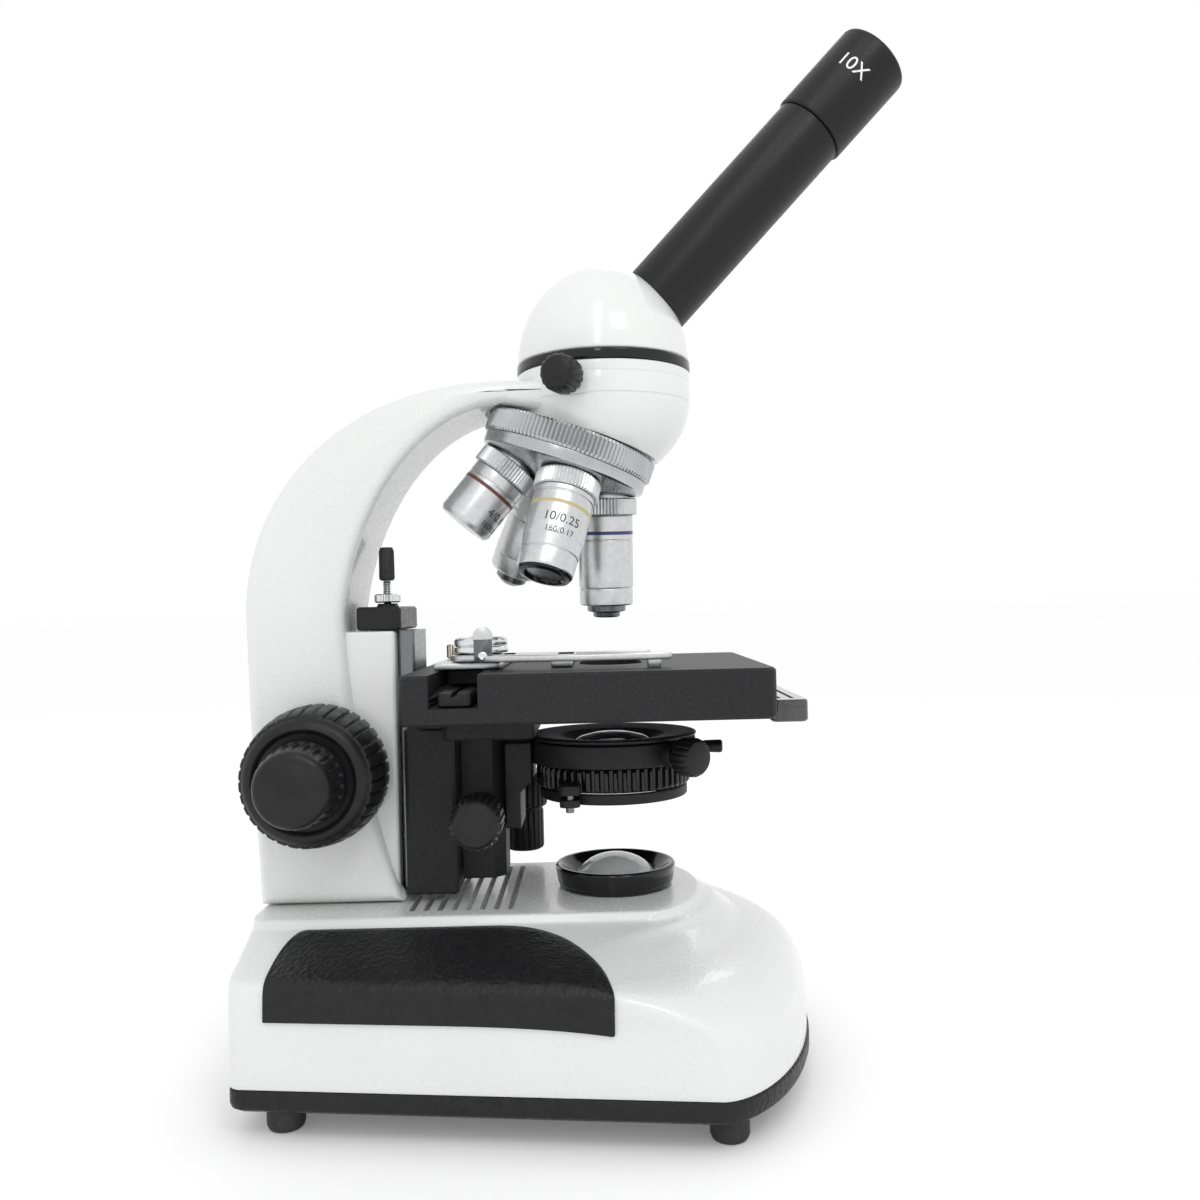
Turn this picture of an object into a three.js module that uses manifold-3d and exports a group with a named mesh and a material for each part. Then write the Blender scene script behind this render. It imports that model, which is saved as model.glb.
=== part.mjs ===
// Student microscope: hollow base with a lamp, curved arm, rack focusing stage, condenser, turret and inclined head.
// Millimetres, +Z up. The user sits on the -Y side; X = 0, Y = 0 is the optical axis until the part is centred.
import * as THREE from "three";
import { mergeVertices } from "three/addons/utils/BufferGeometryUtils.js";
import Module from "manifold-3d";

const wasm = await Module();
wasm.setup();

// ---- driving dimensions -------------------------------------------------------------------------
const GAP = 0.3;
const FINENESS = 0.5;
const FOOT = { h: 8.4, r: 6.2, rearX: 57, rearY: 109, frontX: 72, frontY: -33 };
const BASE = { plate: 8.7, seam: 16.6, deck: 62, rear: 125, corner: 5, skin: 2.6 };
const DIAL = { x: 74.3, y: -14 };
const ARM = { half: 23, foot: 62.5, blockHalf: 19, blockFront: 77.3, blockTop: 159 };
const COARSE = { y: 103, z: 110, r: 24.3, inner: 24.4, outer: 50, slots: 26 };
const FINE = { r: 13.6, inner: 50.6, outer: 68.5, shaft: 2 };
const PINION_R = 6;
const RAIL = { half: 14, front: 71, back: 77, low: 66 };
const SLIDE = { half: 22, front: 56, back: 74.5, low: 65, top: 124 };
const STAGE = { half: 60, rear: 69.5, front: -53.3, low: 128.5, plate: 139, top: 145, wall: 3 };
const CHANNEL = { y0: 43.5, y1: 59.5, z: 134.2 };
const HOLDER = { z: 145.3, thick: 2.2, pivotX: -20, pivotY: 47, gripX: 38.5, tip: -17 };
const SCREW = { x: 2, y: 57.5 };
const STALK = { x: 46, y: 37 };
const CONDENSER = { flange: 118.8, ringLow: 109, ringTop: 117.2, ringR: 31, bore: 27, body: 26.5, tray: 95 };
const PIVOT = { x: -27.6, y: 15.6 };
const CLAMP_ANGLE = 50;
const LEVER_ANGLE = 8;
const LAMP = { r: 22.4, low: 62.3, top: 70.5, bore: 16 };
const BOWL = { r: 32, mid: 243, drop: 30, top: 248 };
const TURRET = { apex: 262, tilt: 20, cone: 20, turned: -14, seat: 55, r: 32.3 };
const HEAD = { ring: 252.3, dome: 256.1, rise: 36, skin: 3.5 };
const TUBE = { y: -20.8, z: 280.3, lean: 43.3, r: 13.65, bore: 12, low: -9, top: 85, end: 121.4 };

// ---- geometry helpers ---------------------------------------------------------------------------
const rad = THREE.MathUtils.degToRad;
const vec = (x, y, z) => new THREE.Vector3(x, y, z);
const points2 = (list) => list.map(([a, b]) => new THREE.Vector2(a, b));
const spin = (angle) => new THREE.Matrix4().makeRotationZ(angle);
const move = (x, y, z) => new THREE.Matrix4().makeTranslation(x, y, z);
const sides = (count) => Math.max(8, 2 * Math.round((count * FINENESS) / 2));

// A closed solid from a geometry, its faces turned outward.
function solid(geometry) {
  const flat = geometry.index ? geometry.toNonIndexed() : geometry;
  const bare = new THREE.BufferGeometry().setAttribute("position", flat.getAttribute("position"));
  const merged = mergeVertices(bare, 1e-3);
  const index = Array.from(merged.index.array);
  const faces = [];
  for (let i = 0; i < index.length; i += 3) {
    const [a, b, c] = index.slice(i, i + 3);
    if (a !== b && b !== c && c !== a) faces.push([a, b, c]);
  }
  const vertProperties = merged.attributes.position.array;
  const build = (list) =>
    new wasm.Manifold(new wasm.Mesh({ numProp: 3, vertProperties, triVerts: new Uint32Array(list.flat()) }));
  const made = build(faces);
  return made.volume() < 0 ? build(faces.map(([a, b, c]) => [a, c, b])) : made;
}

const placed = (body, matrix) => body.transform(matrix.elements);
const joined = (bodies) => bodies.reduce((a, b) => a.add(b));
const cut = (body, tools) => tools.reduce((a, b) => a.subtract(b), body);

// Turns a profile of [radius, height] pairs about Z; a profile off the axis is closed on itself.
function lathe(profile, segments = 28) {
  const open = profile[0][0] > 0 || profile[profile.length - 1][0] > 0;
  const loop = open ? [...profile, profile[0]] : profile;
  return solid(new THREE.LatheGeometry(points2(loop), sides(segments)).rotateX(Math.PI / 2));
}

// A cylinder with chamfered rims.
function rod(r, z0, z1, rim = 0.4, segments = 24) {
  return lathe([[0, z0], [r - rim, z0], [r, z0 + rim], [r, z1 - rim], [r - rim, z1], [0, z1]], segments);
}

const pipe = (inner, outer, z0, z1, segments = 28) =>
  lathe([[inner, z0], [outer, z0], [outer, z1], [inner, z1]], segments);

const box = (x0, x1, y0, y1, z0, z1) =>
  solid(new THREE.BoxGeometry(x1 - x0, y1 - y0, z1 - z0).translate((x0 + x1) / 2, (y0 + y1) / 2, (z0 + z1) / 2));

function roundRect(x0, x1, y0, y1, r) {
  const shape = new THREE.Shape();
  const corners = [[x1 - r, y0 + r, -90], [x1 - r, y1 - r, 0], [x0 + r, y1 - r, 90], [x0 + r, y0 + r, 180]];
  for (const [x, y, start] of corners) shape.absarc(x, y, r, rad(start), rad(start + 90), false);
  return shape;
}

// A flat outline raised from z0 to z1, its edges rounded by the bevel.
function slab(shape, z0, z1, bevel = 0, rounds = 1, curveSegments = 5) {
  const options = {
    depth: z1 - z0 - 2 * bevel,
    steps: 1,
    curveSegments,
    bevelEnabled: bevel > 0,
    bevelThickness: bevel,
    bevelSize: bevel,
    bevelOffset: -bevel,
    bevelSegments: rounds,
  };
  return solid(new THREE.ExtrudeGeometry(shape, options).translate(0, 0, z0 + bevel));
}

const roundedBox = (x0, x1, y0, y1, z0, z1, r = 2, bevel = 0.6) =>
  slab(roundRect(x0, x1, y0, y1, r), z0, z1, bevel, 1, 1);

// Turned from Z to point along X, and from Z to point along -Y.
const ALONG_X = new THREE.Matrix4().makeBasis(vec(0, 1, 0), vec(0, 0, 1), vec(1, 0, 0));
const ALONG_MINUS_X = new THREE.Matrix4().makeBasis(vec(0, -1, 0), vec(0, 0, 1), vec(-1, 0, 0));

// A wheel outline with square teeth.
function toothed(outer, inner, count, share = 0.5) {
  const list = [];
  for (let i = 0; i < count; i++) {
    const step = (2 * Math.PI) / count;
    const a = i * step;
    for (const [r, t] of [[outer, 0], [outer, share], [inner, share + 0.08], [inner, 0.92]])
      list.push([r * Math.cos(a + t * step), r * Math.sin(a + t * step)]);
  }
  return new THREE.Shape(points2(list));
}

// A fine saw-toothed outline.
function knurled(outer, inner, count) {
  const list = [];
  for (let i = 0; i < 2 * count; i++) {
    const a = (i * Math.PI) / count;
    const r = i % 2 ? inner : outer;
    list.push([r * Math.cos(a), r * Math.sin(a)]);
  }
  return new THREE.Shape(points2(list));
}

// A skin through rings of equally many points, capped at both ends.
function loft(rings) {
  const n = rings[0].length;
  const position = rings.flat().flatMap((p) => [p.x, p.y, p.z]);
  const index = [];
  for (let k = 0; k + 1 < rings.length; k++)
    for (let i = 0; i < n; i++) {
      const [a, b] = [k * n + i, k * n + ((i + 1) % n)];
      index.push(a, b, b + n, a, b + n, a + n);
    }
  for (const [k, flip] of [[0, true], [rings.length - 1, false]]) {
    const hub = position.length / 3;
    const mid = rings[k].reduce((s, p) => s.add(p), vec(0, 0, 0)).multiplyScalar(1 / n);
    position.push(mid.x, mid.y, mid.z);
    for (let i = 0; i < n; i++) {
      const [a, b] = [k * n + i, k * n + ((i + 1) % n)];
      index.push(...(flip ? [b, a, hub] : [a, b, hub]));
    }
  }
  const geometry = new THREE.BufferGeometry();
  geometry.setAttribute("position", new THREE.Float32BufferAttribute(position, 3));
  return solid(geometry.setIndex(index));
}

// ---- base ---------------------------------------------------------------------------------------
// Levels of the base's outside: height, half width at the rear, half width and Y where the side turns, front, and how
// much of a growth of the shell lifts the level.
const BASE_LEVELS = [
  [BASE.seam, 67.3, 84.4, -30, -68, 0],
  [36, 67.3, 83.8, -26, -67, 0],
  [43, 67.1, 83, -11, -63.5, 0],
  [47.2, 66.6, 82, 1, -57.5, 0.2],
  [49.6, 65, 79.5, 9, -50, 0.5],
  [51.2, 61, 75, 14, -45, 0.9],
  [55, 50, 58, 10, -40, 1],
  [58.6, 41.5, 42.5, -8, -36, 1],
  [BASE.deck, 38.5, 38.5, -12, -30.5, 1],
];

// One level of the base outline: a square rear, straight sides that widen forwards, and a bowed front.
function baseRing(z, rearHalf, half, turn, front, rear = BASE.rear) {
  const c = BASE.corner;
  const side = [[rearHalf - c, rear], [rearHalf - 0.3 * c, rear - 0.3 * c], [rearHalf, rear - c]];
  side.push([(rearHalf + half) / 2, (rear - c + turn) / 2]);
  const nose = new THREE.CubicBezierCurve(
    ...points2([[half, turn], [half, turn + 0.37 * (front - turn)], [0.58 * half, front], [0, front]]),
  );
  for (const p of nose.getPoints(8)) side.push([p.x, p.y]);
  const mirrored = side.slice(0, -1).reverse().map(([x, y]) => [-x, y]);
  return [...side, ...mirrored].map(([x, y]) => vec(x, y, z));
}

// The outside of the base grown by `g` all round.
const baseShape = (g) =>
  loft(
    BASE_LEVELS.map(([z, rearHalf, half, turn, front, lift]) =>
      baseRing(z + lift * g, rearHalf + g, half + g, turn, front - g, BASE.rear + g),
    ),
  );

function baseInside() {
  const rear = BASE.rear - BASE.skin;
  return loft([
    baseRing(BASE.seam - 1, 64.7, 81.8, -30, -65.4, rear),
    baseRing(43, 64, 80, -11, -60, rear),
    baseRing(46.5, 61, 76, 9, -49, rear),
    baseRing(54.6, 40, 47, 0, -37, rear - 1),
    baseRing(BASE.deck - BASE.skin, 35.5, 35.5, -12, -27.5, rear - 1),
  ]);
}

function baseHousing() {
  const slots = [];
  for (let i = 0; i < 8; i++) slots.push(box(-32, 32, 36 + 4.9 * i, 38 + 4.9 * i, 55, 65));
  return cut(baseShape(0), [
    baseInside(),
    ...slots,
    rod(LAMP.bore, 50, 70, 0.4, 32),
    placed(rod(6.3, -8, 8, 0.4, 20), move(32, 124, 32).multiply(ALONG_Y)),
    box(-14.9, -1.1, 110, 130, 25.4, 38.6),
    box(DIAL.x - 12, 90, DIAL.y - 11.8, DIAL.y + 11.8, 30.7, 37.3),
  ]);
}

const ALONG_Y = new THREE.Matrix4().makeBasis(vec(-1, 0, 0), vec(0, 0, 1), vec(0, 1, 0));

function basePlate() {
  const floor = loft([
    baseRing(BASE.plate, 65.5, 82.6, -30, -65.8, BASE.rear - 2),
    baseRing(BASE.plate + 2.5, 67.9, 85.2, -30, -68.8),
    baseRing(BASE.seam - GAP, 67.9, 85.2, -30, -68.8),
  ]);
  const pillar = lathe([[0, 12], [13, 12], [9, 20], [9, 34.5], [0, 34.5]], 20);
  return floor.add(pillar);
}

// A grip pad wrapped over one side of the base.
function gripPad(side) {
  const outline = new THREE.Shape();
  outline.moveTo(112.4, 38.2);
  outline.lineTo(112.2, 50);
  outline.quadraticCurveTo(111.8, 59, 105, 59);
  outline.lineTo(42, 59);
  outline.bezierCurveTo(22, 59, 2.6, 55, 1.9, 48);
  outline.lineTo(2, 35.8);
  outline.quadraticCurveTo(30, 38.2, 62, 38.2);
  const window = placed(slab(outline, 40, 90), ALONG_X);
  const under = placed(baseShape(0), move(0.6, 0, 0.6));
  const wrap = baseShape(1.7).subtract(under).intersect(window);
  return side > 0 ? wrap : placed(wrap, new THREE.Matrix4().makeScale(-1, 1, 1));
}

const foot = (x, y) =>
  placed(
    lathe([[0, 0], [FOOT.r - 1.4, 0], [FOOT.r - 0.6, 1], [FOOT.r, FOOT.h], [0, FOOT.h]], 18),
    move(x, y, 0),
  );

const lampCollar = () =>
  lathe(
    [
      [LAMP.bore, LAMP.low],
      [LAMP.r - 1, LAMP.low],
      [LAMP.r - 0.8, LAMP.low + 2],
      [LAMP.r, LAMP.top - 0.8],
      [LAMP.r - 0.7, LAMP.top],
      [LAMP.r - 1.8, LAMP.top],
      [LAMP.bore, LAMP.top - 4.5],
    ],
    40,
  );

const fieldLens = () =>
  lathe([[0, 58.5], [14.6, 58.5], [15.4, 59.3], [15.4, 64], [13.8, 67.8], [10.4, 71], [5.6, 73.1], [0, 73.7]], 32);

const powerInlet = () =>
  placed(
    joined([pipe(3.2, 6, -7, 1, 20), pipe(3.2, 7.6, 1, 2.6, 20), rod(3.4, -7, -5, 0.2, 12), rod(1.1, -6, 0.5, 0.2, 8)]),
    move(32, 124.6, 32).multiply(ALONG_Y),
  );

function rocker() {
  const side = new THREE.Shape(points2([[117, 27], [125.4, 26.3], [126.2, 32], [127.6, 37.6], [117, 37]]));
  return placed(slab(side, -14.3, -1.7), ALONG_X);
}

const dimmerDial = () =>
  placed(slab(knurled(10.6, 9.9, 20), 31.4, 36.6).subtract(rod(2.2, 30, 38, 0.1, 12)), move(DIAL.x, DIAL.y, 0));

// ---- arm and focusing block ----------------------------------------------------------------------
function armProfile() {
  const shape = new THREE.Shape();
  shape.moveTo(126.6, ARM.foot);
  shape.lineTo(130, 168);
  shape.bezierCurveTo(128.5, 206, 100, 245, 42, 247.4);
  shape.lineTo(12, 247.8);
  shape.lineTo(12, 234);
  shape.lineTo(36, 239.5);
  shape.bezierCurveTo(66, 238, 90, 205, 94.7, 165);
  shape.bezierCurveTo(95, 140, 88, 96, 75.6, ARM.foot);
  return shape;
}

const turretFrame = () =>
  move(0, 0, TURRET.apex).multiply(new THREE.Matrix4().makeRotationX(rad(180 + TURRET.tilt)));

function bowl() {
  const profile = [[0, BOWL.top], [BOWL.r, BOWL.top]];
  for (let i = 0; i <= 9; i++) {
    const a = rad(10 * i);
    profile.push([BOWL.r * Math.cos(a), BOWL.mid - BOWL.drop * Math.sin(a)]);
  }
  return lathe(profile, 40);
}

function arm() {
  const { half, foot: low, blockHalf, blockFront, blockTop } = ARM;
  const curve = placed(slab(armProfile(), -half, half, 3, 2, 7), ALONG_X);
  const block = roundedBox(-blockHalf, blockHalf, blockFront, 100, low, blockTop, 1.5, 0.8);
  const across = move(0, COARSE.y, COARSE.z).multiply(ALONG_X);
  const whole = joined([curve, block, bowl()]);
  const turretSide = placed(box(-60, 60, -60, 60, 33.7, 90), turretFrame());
  const neck = box(-24, 24, 36, 140, 0, 300);
  const sweep = placed(rod(33.8, 33.7, 60, 0.1, 48), turretFrame());
  return cut(whole, [
    turretSide.subtract(neck),
    sweep,
    rod(11, 200, 260, 0.2, 24),
    box(-4.4, 4.4, 70, 112, 90, 142.5),
    box(-RAIL.half - GAP, RAIL.half + GAP, 60, blockFront, 60, 160),
    placed(rod(4.4, -30, 30, 0.1, 20), across),
    placed(rod(2, 138, 170, 0.1, 12), move(0, 83, 0)),
    placed(rod(2.3, 20, 40, 0.1, 12), clampFrame()),
  ]);
}

// The head's clamp screw points radially out of the fixed band.
const clampFrame = () =>
  new THREE.Matrix4()
    .makeTranslation(0, 0, 245.5)
    .multiply(new THREE.Matrix4().makeRotationZ(rad(159.3)))
    .multiply(new THREE.Matrix4().makeRotationY(Math.PI / 2));

function guideRail() {
  const { half, front, back, low } = RAIL;
  const rail = slab(roundRect(-half, half, front, back, 1), low, ARM.blockTop, 0, 1, 2);
  return rail.subtract(box(-4.4, 4.4, 60, 90, 90, 142.5));
}

function stopBar() {
  const bar = roundedBox(-18.5, 18.5, 75, 91, ARM.blockTop + GAP, 167.8, 1.2, 0.8);
  const collar = placed(lathe([[0, 167], [4.6, 167], [3.6, 169], [0, 169]], 18), move(0, 83, 0));
  return bar.add(collar).subtract(placed(rod(1.9, 150, 180, 0.1, 12), move(0, 83, 0)));
}

const stopScrew = () =>
  placed(
    lathe([[0, 139], [1.2, 139], [1.55, 140], [1.55, 177.5], [2.5, 178], [2.9, 179], [2.7, 189], [2, 190], [0, 190]], 16),
    move(0, 83, 0),
  );

const stopNut = () =>
  placed(slab(knurled(4.8, 4.3, 20), 169.3, 172.6).subtract(rod(1.9, 160, 180, 0.1, 12)), move(0, 83, 0));

// ---- focus knobs -----------------------------------------------------------------------------------
const knobFrame = (side) => move(0, COARSE.y, COARSE.z).multiply(side > 0 ? ALONG_X : ALONG_MINUS_X);

function coarseKnob(side) {
  const { r, inner, outer, slots } = COARSE;
  const wheel = lathe(
    [[4.4, inner], [22.4, inner], [r, inner + 2], [r, inner + 7], [r - 3, outer - 3.4], [r - 4.4, outer - 1.6],
      [16.6, outer - 0.6], [15.6, outer], [2.6, outer], [2.6, 28], [4.4, 28]],
    36,
  );
  const slot = placed(box(-1, 1, r - 1.1, r + 4, -14, 9), move(0, 0.6, inner + 14).multiply(
    new THREE.Matrix4().makeRotationX(rad(9.5))));
  const cuts = [];
  for (let i = 0; i < slots; i++) cuts.push(placed(slot, spin((2 * Math.PI * i) / slots)));
  return placed(cut(wheel, [joined(cuts)]), knobFrame(side));
}

function coarsePinion() {
  const tube = pipe(2.4, 4, -27.6, 27.6, 18);
  const wheel = slab(toothed(PINION_R, 4.9, 12), -3.9, 3.9).subtract(rod(3, -5, 5, 0.1, 18));
  return placed(tube.add(wheel), knobFrame(1));
}

function fineKnob(side) {
  const { r, inner, outer, shaft } = FINE;
  const cap = lathe(
    [[0, inner], [r, inner], [r + 0.6, inner + 1.5], [r, inner + 7], [r - 1, outer - 4], [r - 3.4, outer - 1.2], [r - 7, outer - 0.2], [0, outer]],
    32,
  );
  const axle = side > 0 ? rod(shaft, 47, inner + 1, 0.2, 12) : rod(shaft, -46, inner + 1, 0.2, 12);
  return placed(cap.add(axle), knobFrame(side));
}

function focusRack() {
  const bar = box(-3.4, 3.4, SLIDE.back - 4.1, 94.6, 96, 124);
  const teeth = [];
  for (let i = 0; i < 10; i++) teeth.push(box(-3.4, 3.4, 94, 96.5, 97 + 2.7 * i, 98.5 + 2.7 * i));
  return joined([bar, ...teeth]);
}

// ---- stage ----------------------------------------------------------------------------------------
function focusSlide() {
  const { half, front, back, low, top } = SLIDE;
  const body = roundedBox(-half, half, front, back, low, top, 1.5, 0.8);
  return body.subtract(box(-RAIL.half - GAP, RAIL.half + GAP, RAIL.front - 0.9, 90, 0, 200));
}

function stageBracket() {
  const lower = slab(roundRect(-35, 35, 27, 59, 3), 121, 128.2, 0.6, 1, 2);
  const upper = slab(roundRect(-38, 38, -45, 40, 4), 127.4, 132, 0.6, 1, 2);
  const seat = box(-SLIDE.half - GAP, SLIDE.half + GAP, SLIDE.front - GAP, 70, 100, SLIDE.top + GAP);
  return cut(lower.add(upper), [seat, rod(17, 100, 140, 0.1, 28)]);
}

function stageTop() {
  const { half, rear, front, low, plate, top, wall } = STAGE;
  const { y0, y1, z } = CHANNEL;
  const shell = slab(roundRect(-half, half, front, rear, 4), low, top, 0.8, 1, 3);
  const hollow = box(-half + wall, half - wall, front + wall, rear - wall, low - 5, plate);
  const floor = box(-half + 1.5, half - 1.5, y0 - 3.5, y1 + 3.5, z - 1.7, z + 1);
  const boss = box(STALK.x - 6, STALK.x + 6, STALK.y - 6, STALK.y + 6, z - 1.7, plate + 1);
  const body = joined([shell.subtract(hollow), floor, boss]);
  const aperture = slab(roundRect(-18, 18, -11.5, 11.5, 11.4), 130, 150, 0, 1, 5);
  return cut(body, [
    box(-70, 70, y0, y1, z, 150),
    aperture,
    placed(rod(4, 120, 143, 0.1, 18), move(STALK.x, STALK.y, 0)),
  ]);
}

const xRail = () => {
  const bar = roundedBox(-57, 57, 46, 57, CHANNEL.z + GAP, 139, 1, 0.5);
  return bar.subtract(box(-58, 58, 50.5, 52.5, 137.5, 142));
};

const screwBore = () => placed(rod(1.8, 135, 150, 0.1, 12), move(SCREW.x, SCREW.y, 0));

function xCarriage() {
  const { y0, y1 } = CHANNEL;
  const block = roundedBox(-22, 22, y0 + 0.6, y1 - 0.6, 139.3, 144.7, 1, 0.5);
  return block.subtract(screwBore());
}

function slideHolder() {
  const { z, thick, pivotX, pivotY, gripX, tip } = HOLDER;
  const plate = roundedBox(-32, gripX + 8, 38, 62, z, z + thick, 3, 0.3);
  const grip = roundedBox(gripX, gripX + 8, tip, 50, z, z + thick, 3, 0.3);
  const fence = roundedBox(-30, gripX + 2, 13.5, 21, z, z + thick, 1, 0.3);
  const leg = roundedBox(20, gripX + 2, 14, 45, z, z + thick, 1, 0.3);
  const pivot = placed(
    lathe([[0, z + 1], [3, z + 1], [3, 150.8], [9.4, 150.8], [9.4, 153], [8.8, 153.3], [9.2, 153.6], [9.2, 155.4], [8.2, 156.2], [0, 156.2]], 28),
    move(pivotX, pivotY, 0),
  );
  return joined([plate, grip, fence, leg, pivot]).subtract(screwBore());
}

// The sprung finger that holds the slide: hub, arm, claw and thumb tab.
function clipFinger() {
  const { z, thick, pivotX, pivotY, gripX, tip } = HOLDER;
  const low = z + thick + 0.4;
  const shape = new THREE.Shape(
    points2([[-12, 56], [-28, 56], [-36, 50], [-43, 34], [-46.5, 8], [-46.5, tip + 3], [-43, tip], [-gripX, tip], [-gripX, 4], [-35, 30], [-24, 39], [-12, 39]]),
  );
  const arm = slab(shape, low, low + 2.2, 0.3);
  const hub = placed(rod(9, low, low + 2.2, 0.3, 24), move(pivotX, pivotY, 0));
  const claw = roundedBox(-45.5, -gripX, tip + 0.5, tip + 20, z + 0.1, low + 1, 1, 0.3);
  const tab = roundedBox(-38, -35.4, 38, 47, low + 0.5, 159.5, 1.2, 0.3);
  return joined([arm, hub, claw, tab]).subtract(placed(rod(3.4, 140, 160, 0.1, 18), move(pivotX, pivotY, 0)));
}

const holderScrew = () =>
  placed(
    rod(1.4, 142, 148.2, 0.2, 10).add(slab(knurled(3.2, 2.8, 14), 147.8, 153)),
    move(SCREW.x, SCREW.y, 0),
  );

function yKnob() {
  const grip = slab(toothed(9.6, 8.9, 12), 84, 98.5, 0).subtract(rod(1.9, 80, 110, 0.1, 14));
  return placed(grip.add(pipe(1.9, 3.6, 98, 137.5, 14)), move(STALK.x, STALK.y, 0));
}

const xKnob = () =>
  placed(
    joined([slab(toothed(8, 7.4, 12), 66.5, 83.4), rod(1.5, 83, 137.8, 0.2, 12)]),
    move(STALK.x, STALK.y, 0),
  );

function stageGuard() {
  const lip = slab(roundRect(-42, 42, -66.4, STAGE.front - GAP, 3), 125.5, 133, 0.6, 1, 3);
  return cut(lip, [box(-36, 36, -62.5, -61, 131.6, 140), box(-36, 36, -58, -56.5, 131.6, 140)]);
}

// ---- condenser --------------------------------------------------------------------------------------
function condenserRail() {
  const shape = new THREE.Shape(points2([[-12, 55.4], [-12, 44], [-8, 40], [8, 40], [12, 44], [12, 55.4]]));
  const column = slab(shape, 68, 120.6, 0.6);
  return column.subtract(placed(rod(3.3, -20, 20, 0.1, 16), move(0, 47, 94).multiply(ALONG_X)));
}

const radial = (degrees, z) =>
  move(0, 0, z).multiply(spin(rad(-90 - degrees))).multiply(new THREE.Matrix4().makeRotationY(Math.PI / 2));

function condenserHolder() {
  const { ringLow, ringTop, ringR, bore } = CONDENSER;
  const ring = lathe([[bore, ringLow], [ringR, ringLow], [ringR, ringTop], [bore, ringTop]], 40);
  const arm = roundedBox(-13, 13, 29.4, 39.5, 103, ringTop, 1, 0.6);
  const plate = roundedBox(-13, 13, 34, 39.5, 86, ringTop, 1, 0.6);
  const boss = placed(rod(4.2, 28, 34.5, 0.5, 20), radial(CLAMP_ANGLE, 112.8));
  const wedge = new THREE.Shape(points2([[0, 0], [-22, -40], [22, -40]]));
  const slot = slab(wedge, 111.4, 115.2).intersect(pipe(20, 40, 105, 120, 32));
  return cut(joined([ring, arm, plate, boss]), [
    rod(bore, 90, 130, 0.1, 40),
    slot,
    placed(rod(2.4, 20, 40, 0.1, 12), radial(CLAMP_ANGLE, 113)),
  ]);
}

function condenserBody() {
  const { flange, ringLow, ringTop, ringR, body } = CONDENSER;
  const shell = lathe(
    [[20, 99], [24.5, 99], [25, ringLow - 8], [25, ringLow - GAP], [body, ringLow - GAP], [body, ringTop + GAP],
      [ringR, ringTop + GAP + 0.2], [ringR + 0.3, flange], [29.5, flange + 0.4], [15, flange - 0.2], [15, flange - 3], [20, flange - 9]],
    40,
  );
  const ribs = slab(toothed(28.6, 27.4, 30, 0.4), 100.2, ringLow - GAP).subtract(rod(24.6, 90, 120, 0.1, 40));
  const lug = roundedBox(-30.6, -20, 11.6, 19.4, 100.2, 103.6, 2, 0.3).subtract(rod(24.6, 90, 120, 0.1, 40));
  return joined([shell, ribs, lug]).subtract(placed(rod(2, 95, 110, 0.1, 12), move(PIVOT.x, PIVOT.y, 0)));
}

const condenserLens = () =>
  lathe([[0, 108], [10, 108.4], [14.6, 109.5], [14.6, 116], [12, 117.6], [6, 118.9], [0, 119.3]], 28);

function irisLever() {
  const lever = joined([rod(1, 27.4, 38, 0.2, 10), rod(2.3, 33.5, 41, 0.6, 14)]);
  return placed(lever, radial(LEVER_ANGLE, 113.3));
}

function filterTray() {
  const { tray } = CONDENSER;
  const dish = lathe([[16, tray + 1], [16, tray], [27.5, tray], [27.5, tray + 3.4], [25.5, tray + 3.4], [25.5, tray + 1]], 36);
  const ear = roundedBox(-30.6, -21, 12, 19.2, tray, tray + 2.6, 2, 0.3).subtract(rod(24, 90, 100, 0.1, 32));
  const pin = placed(rod(1.5, tray - 1, tray + 8, 0.3, 12), move(PIVOT.x, PIVOT.y, 0));
  return joined([dish, ear, pin]);
}

const condenserClamp = () =>
  placed(joined([rod(1.9, 27.6, 38, 0.2, 12), slab(toothed(6.8, 6.3, 10, 0.6), 36.5, 44.5), rod(5.8, 44, 46, 0.8, 20)]),
    radial(CLAMP_ANGLE, 113));

const condenserKnob = () =>
  placed(
    joined([rod(2.9, -11, 33, 0.3, 14), slab(toothed(9, 8.4, 14, 0.6), 32, 46), rod(7.8, 45, 48, 0.6, 24)]),
    move(0, 47, 94).multiply(ALONG_MINUS_X),
  );

// ---- nosepiece and objectives ------------------------------------------------------------------------
function nosepieceMount() {
  const plate = lathe([[11, 34], [29, 34], [29, 37.2], [11, 37.2]], 36);
  const stud = lathe([[0, 36], [12, 36], [12, 37.2], [4, 37.2], [4, 58.9], [6.4, 58.9], [6.4, 60.2], [4.8, 61.4], [0, 61.4]], 20);
  return placed(cut(plate.add(stud), [placed(rod(8, 30, 35.6, 0.1, 20), move(0, 11, 0))]), turretFrame());
}

function nosepieceTurret() {
  const { r, seat, cone } = TURRET;
  const cup = lathe([[4.4, 37.6], [r - 1.5, 37.6], [r - 1.5, 42.8], [31, 43], [31, 47.2], [7.6, 55.8], [7.6, 58.5], [4.4, 58.5]], 40);
  const rim = slab(knurled(r, r - 0.8, 40), 34.6, 42.8).subtract(rod(r - 2, 30, 50, 0.1, 40));
  const bores = [];
  for (let i = 0; i < 4; i++)
    bores.push(placed(rod(9.9, seat - 9.2, seat + 20, 0.1, 24), stationTurn(i).multiply(objectiveTilt(cone))));
  return placed(cut(cup.add(rim), bores), turretFrame());
}

// The turret stands a little short of its click stop.
const stationTurn = (index) => spin(rad(90 * index + TURRET.turned));

// From the objective's own axis to the turret's: leaned out by the cone angle towards the turret frame's +Y.
const objectiveTilt = (cone) => new THREE.Matrix4().makeRotationX(rad(-cone));

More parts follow.
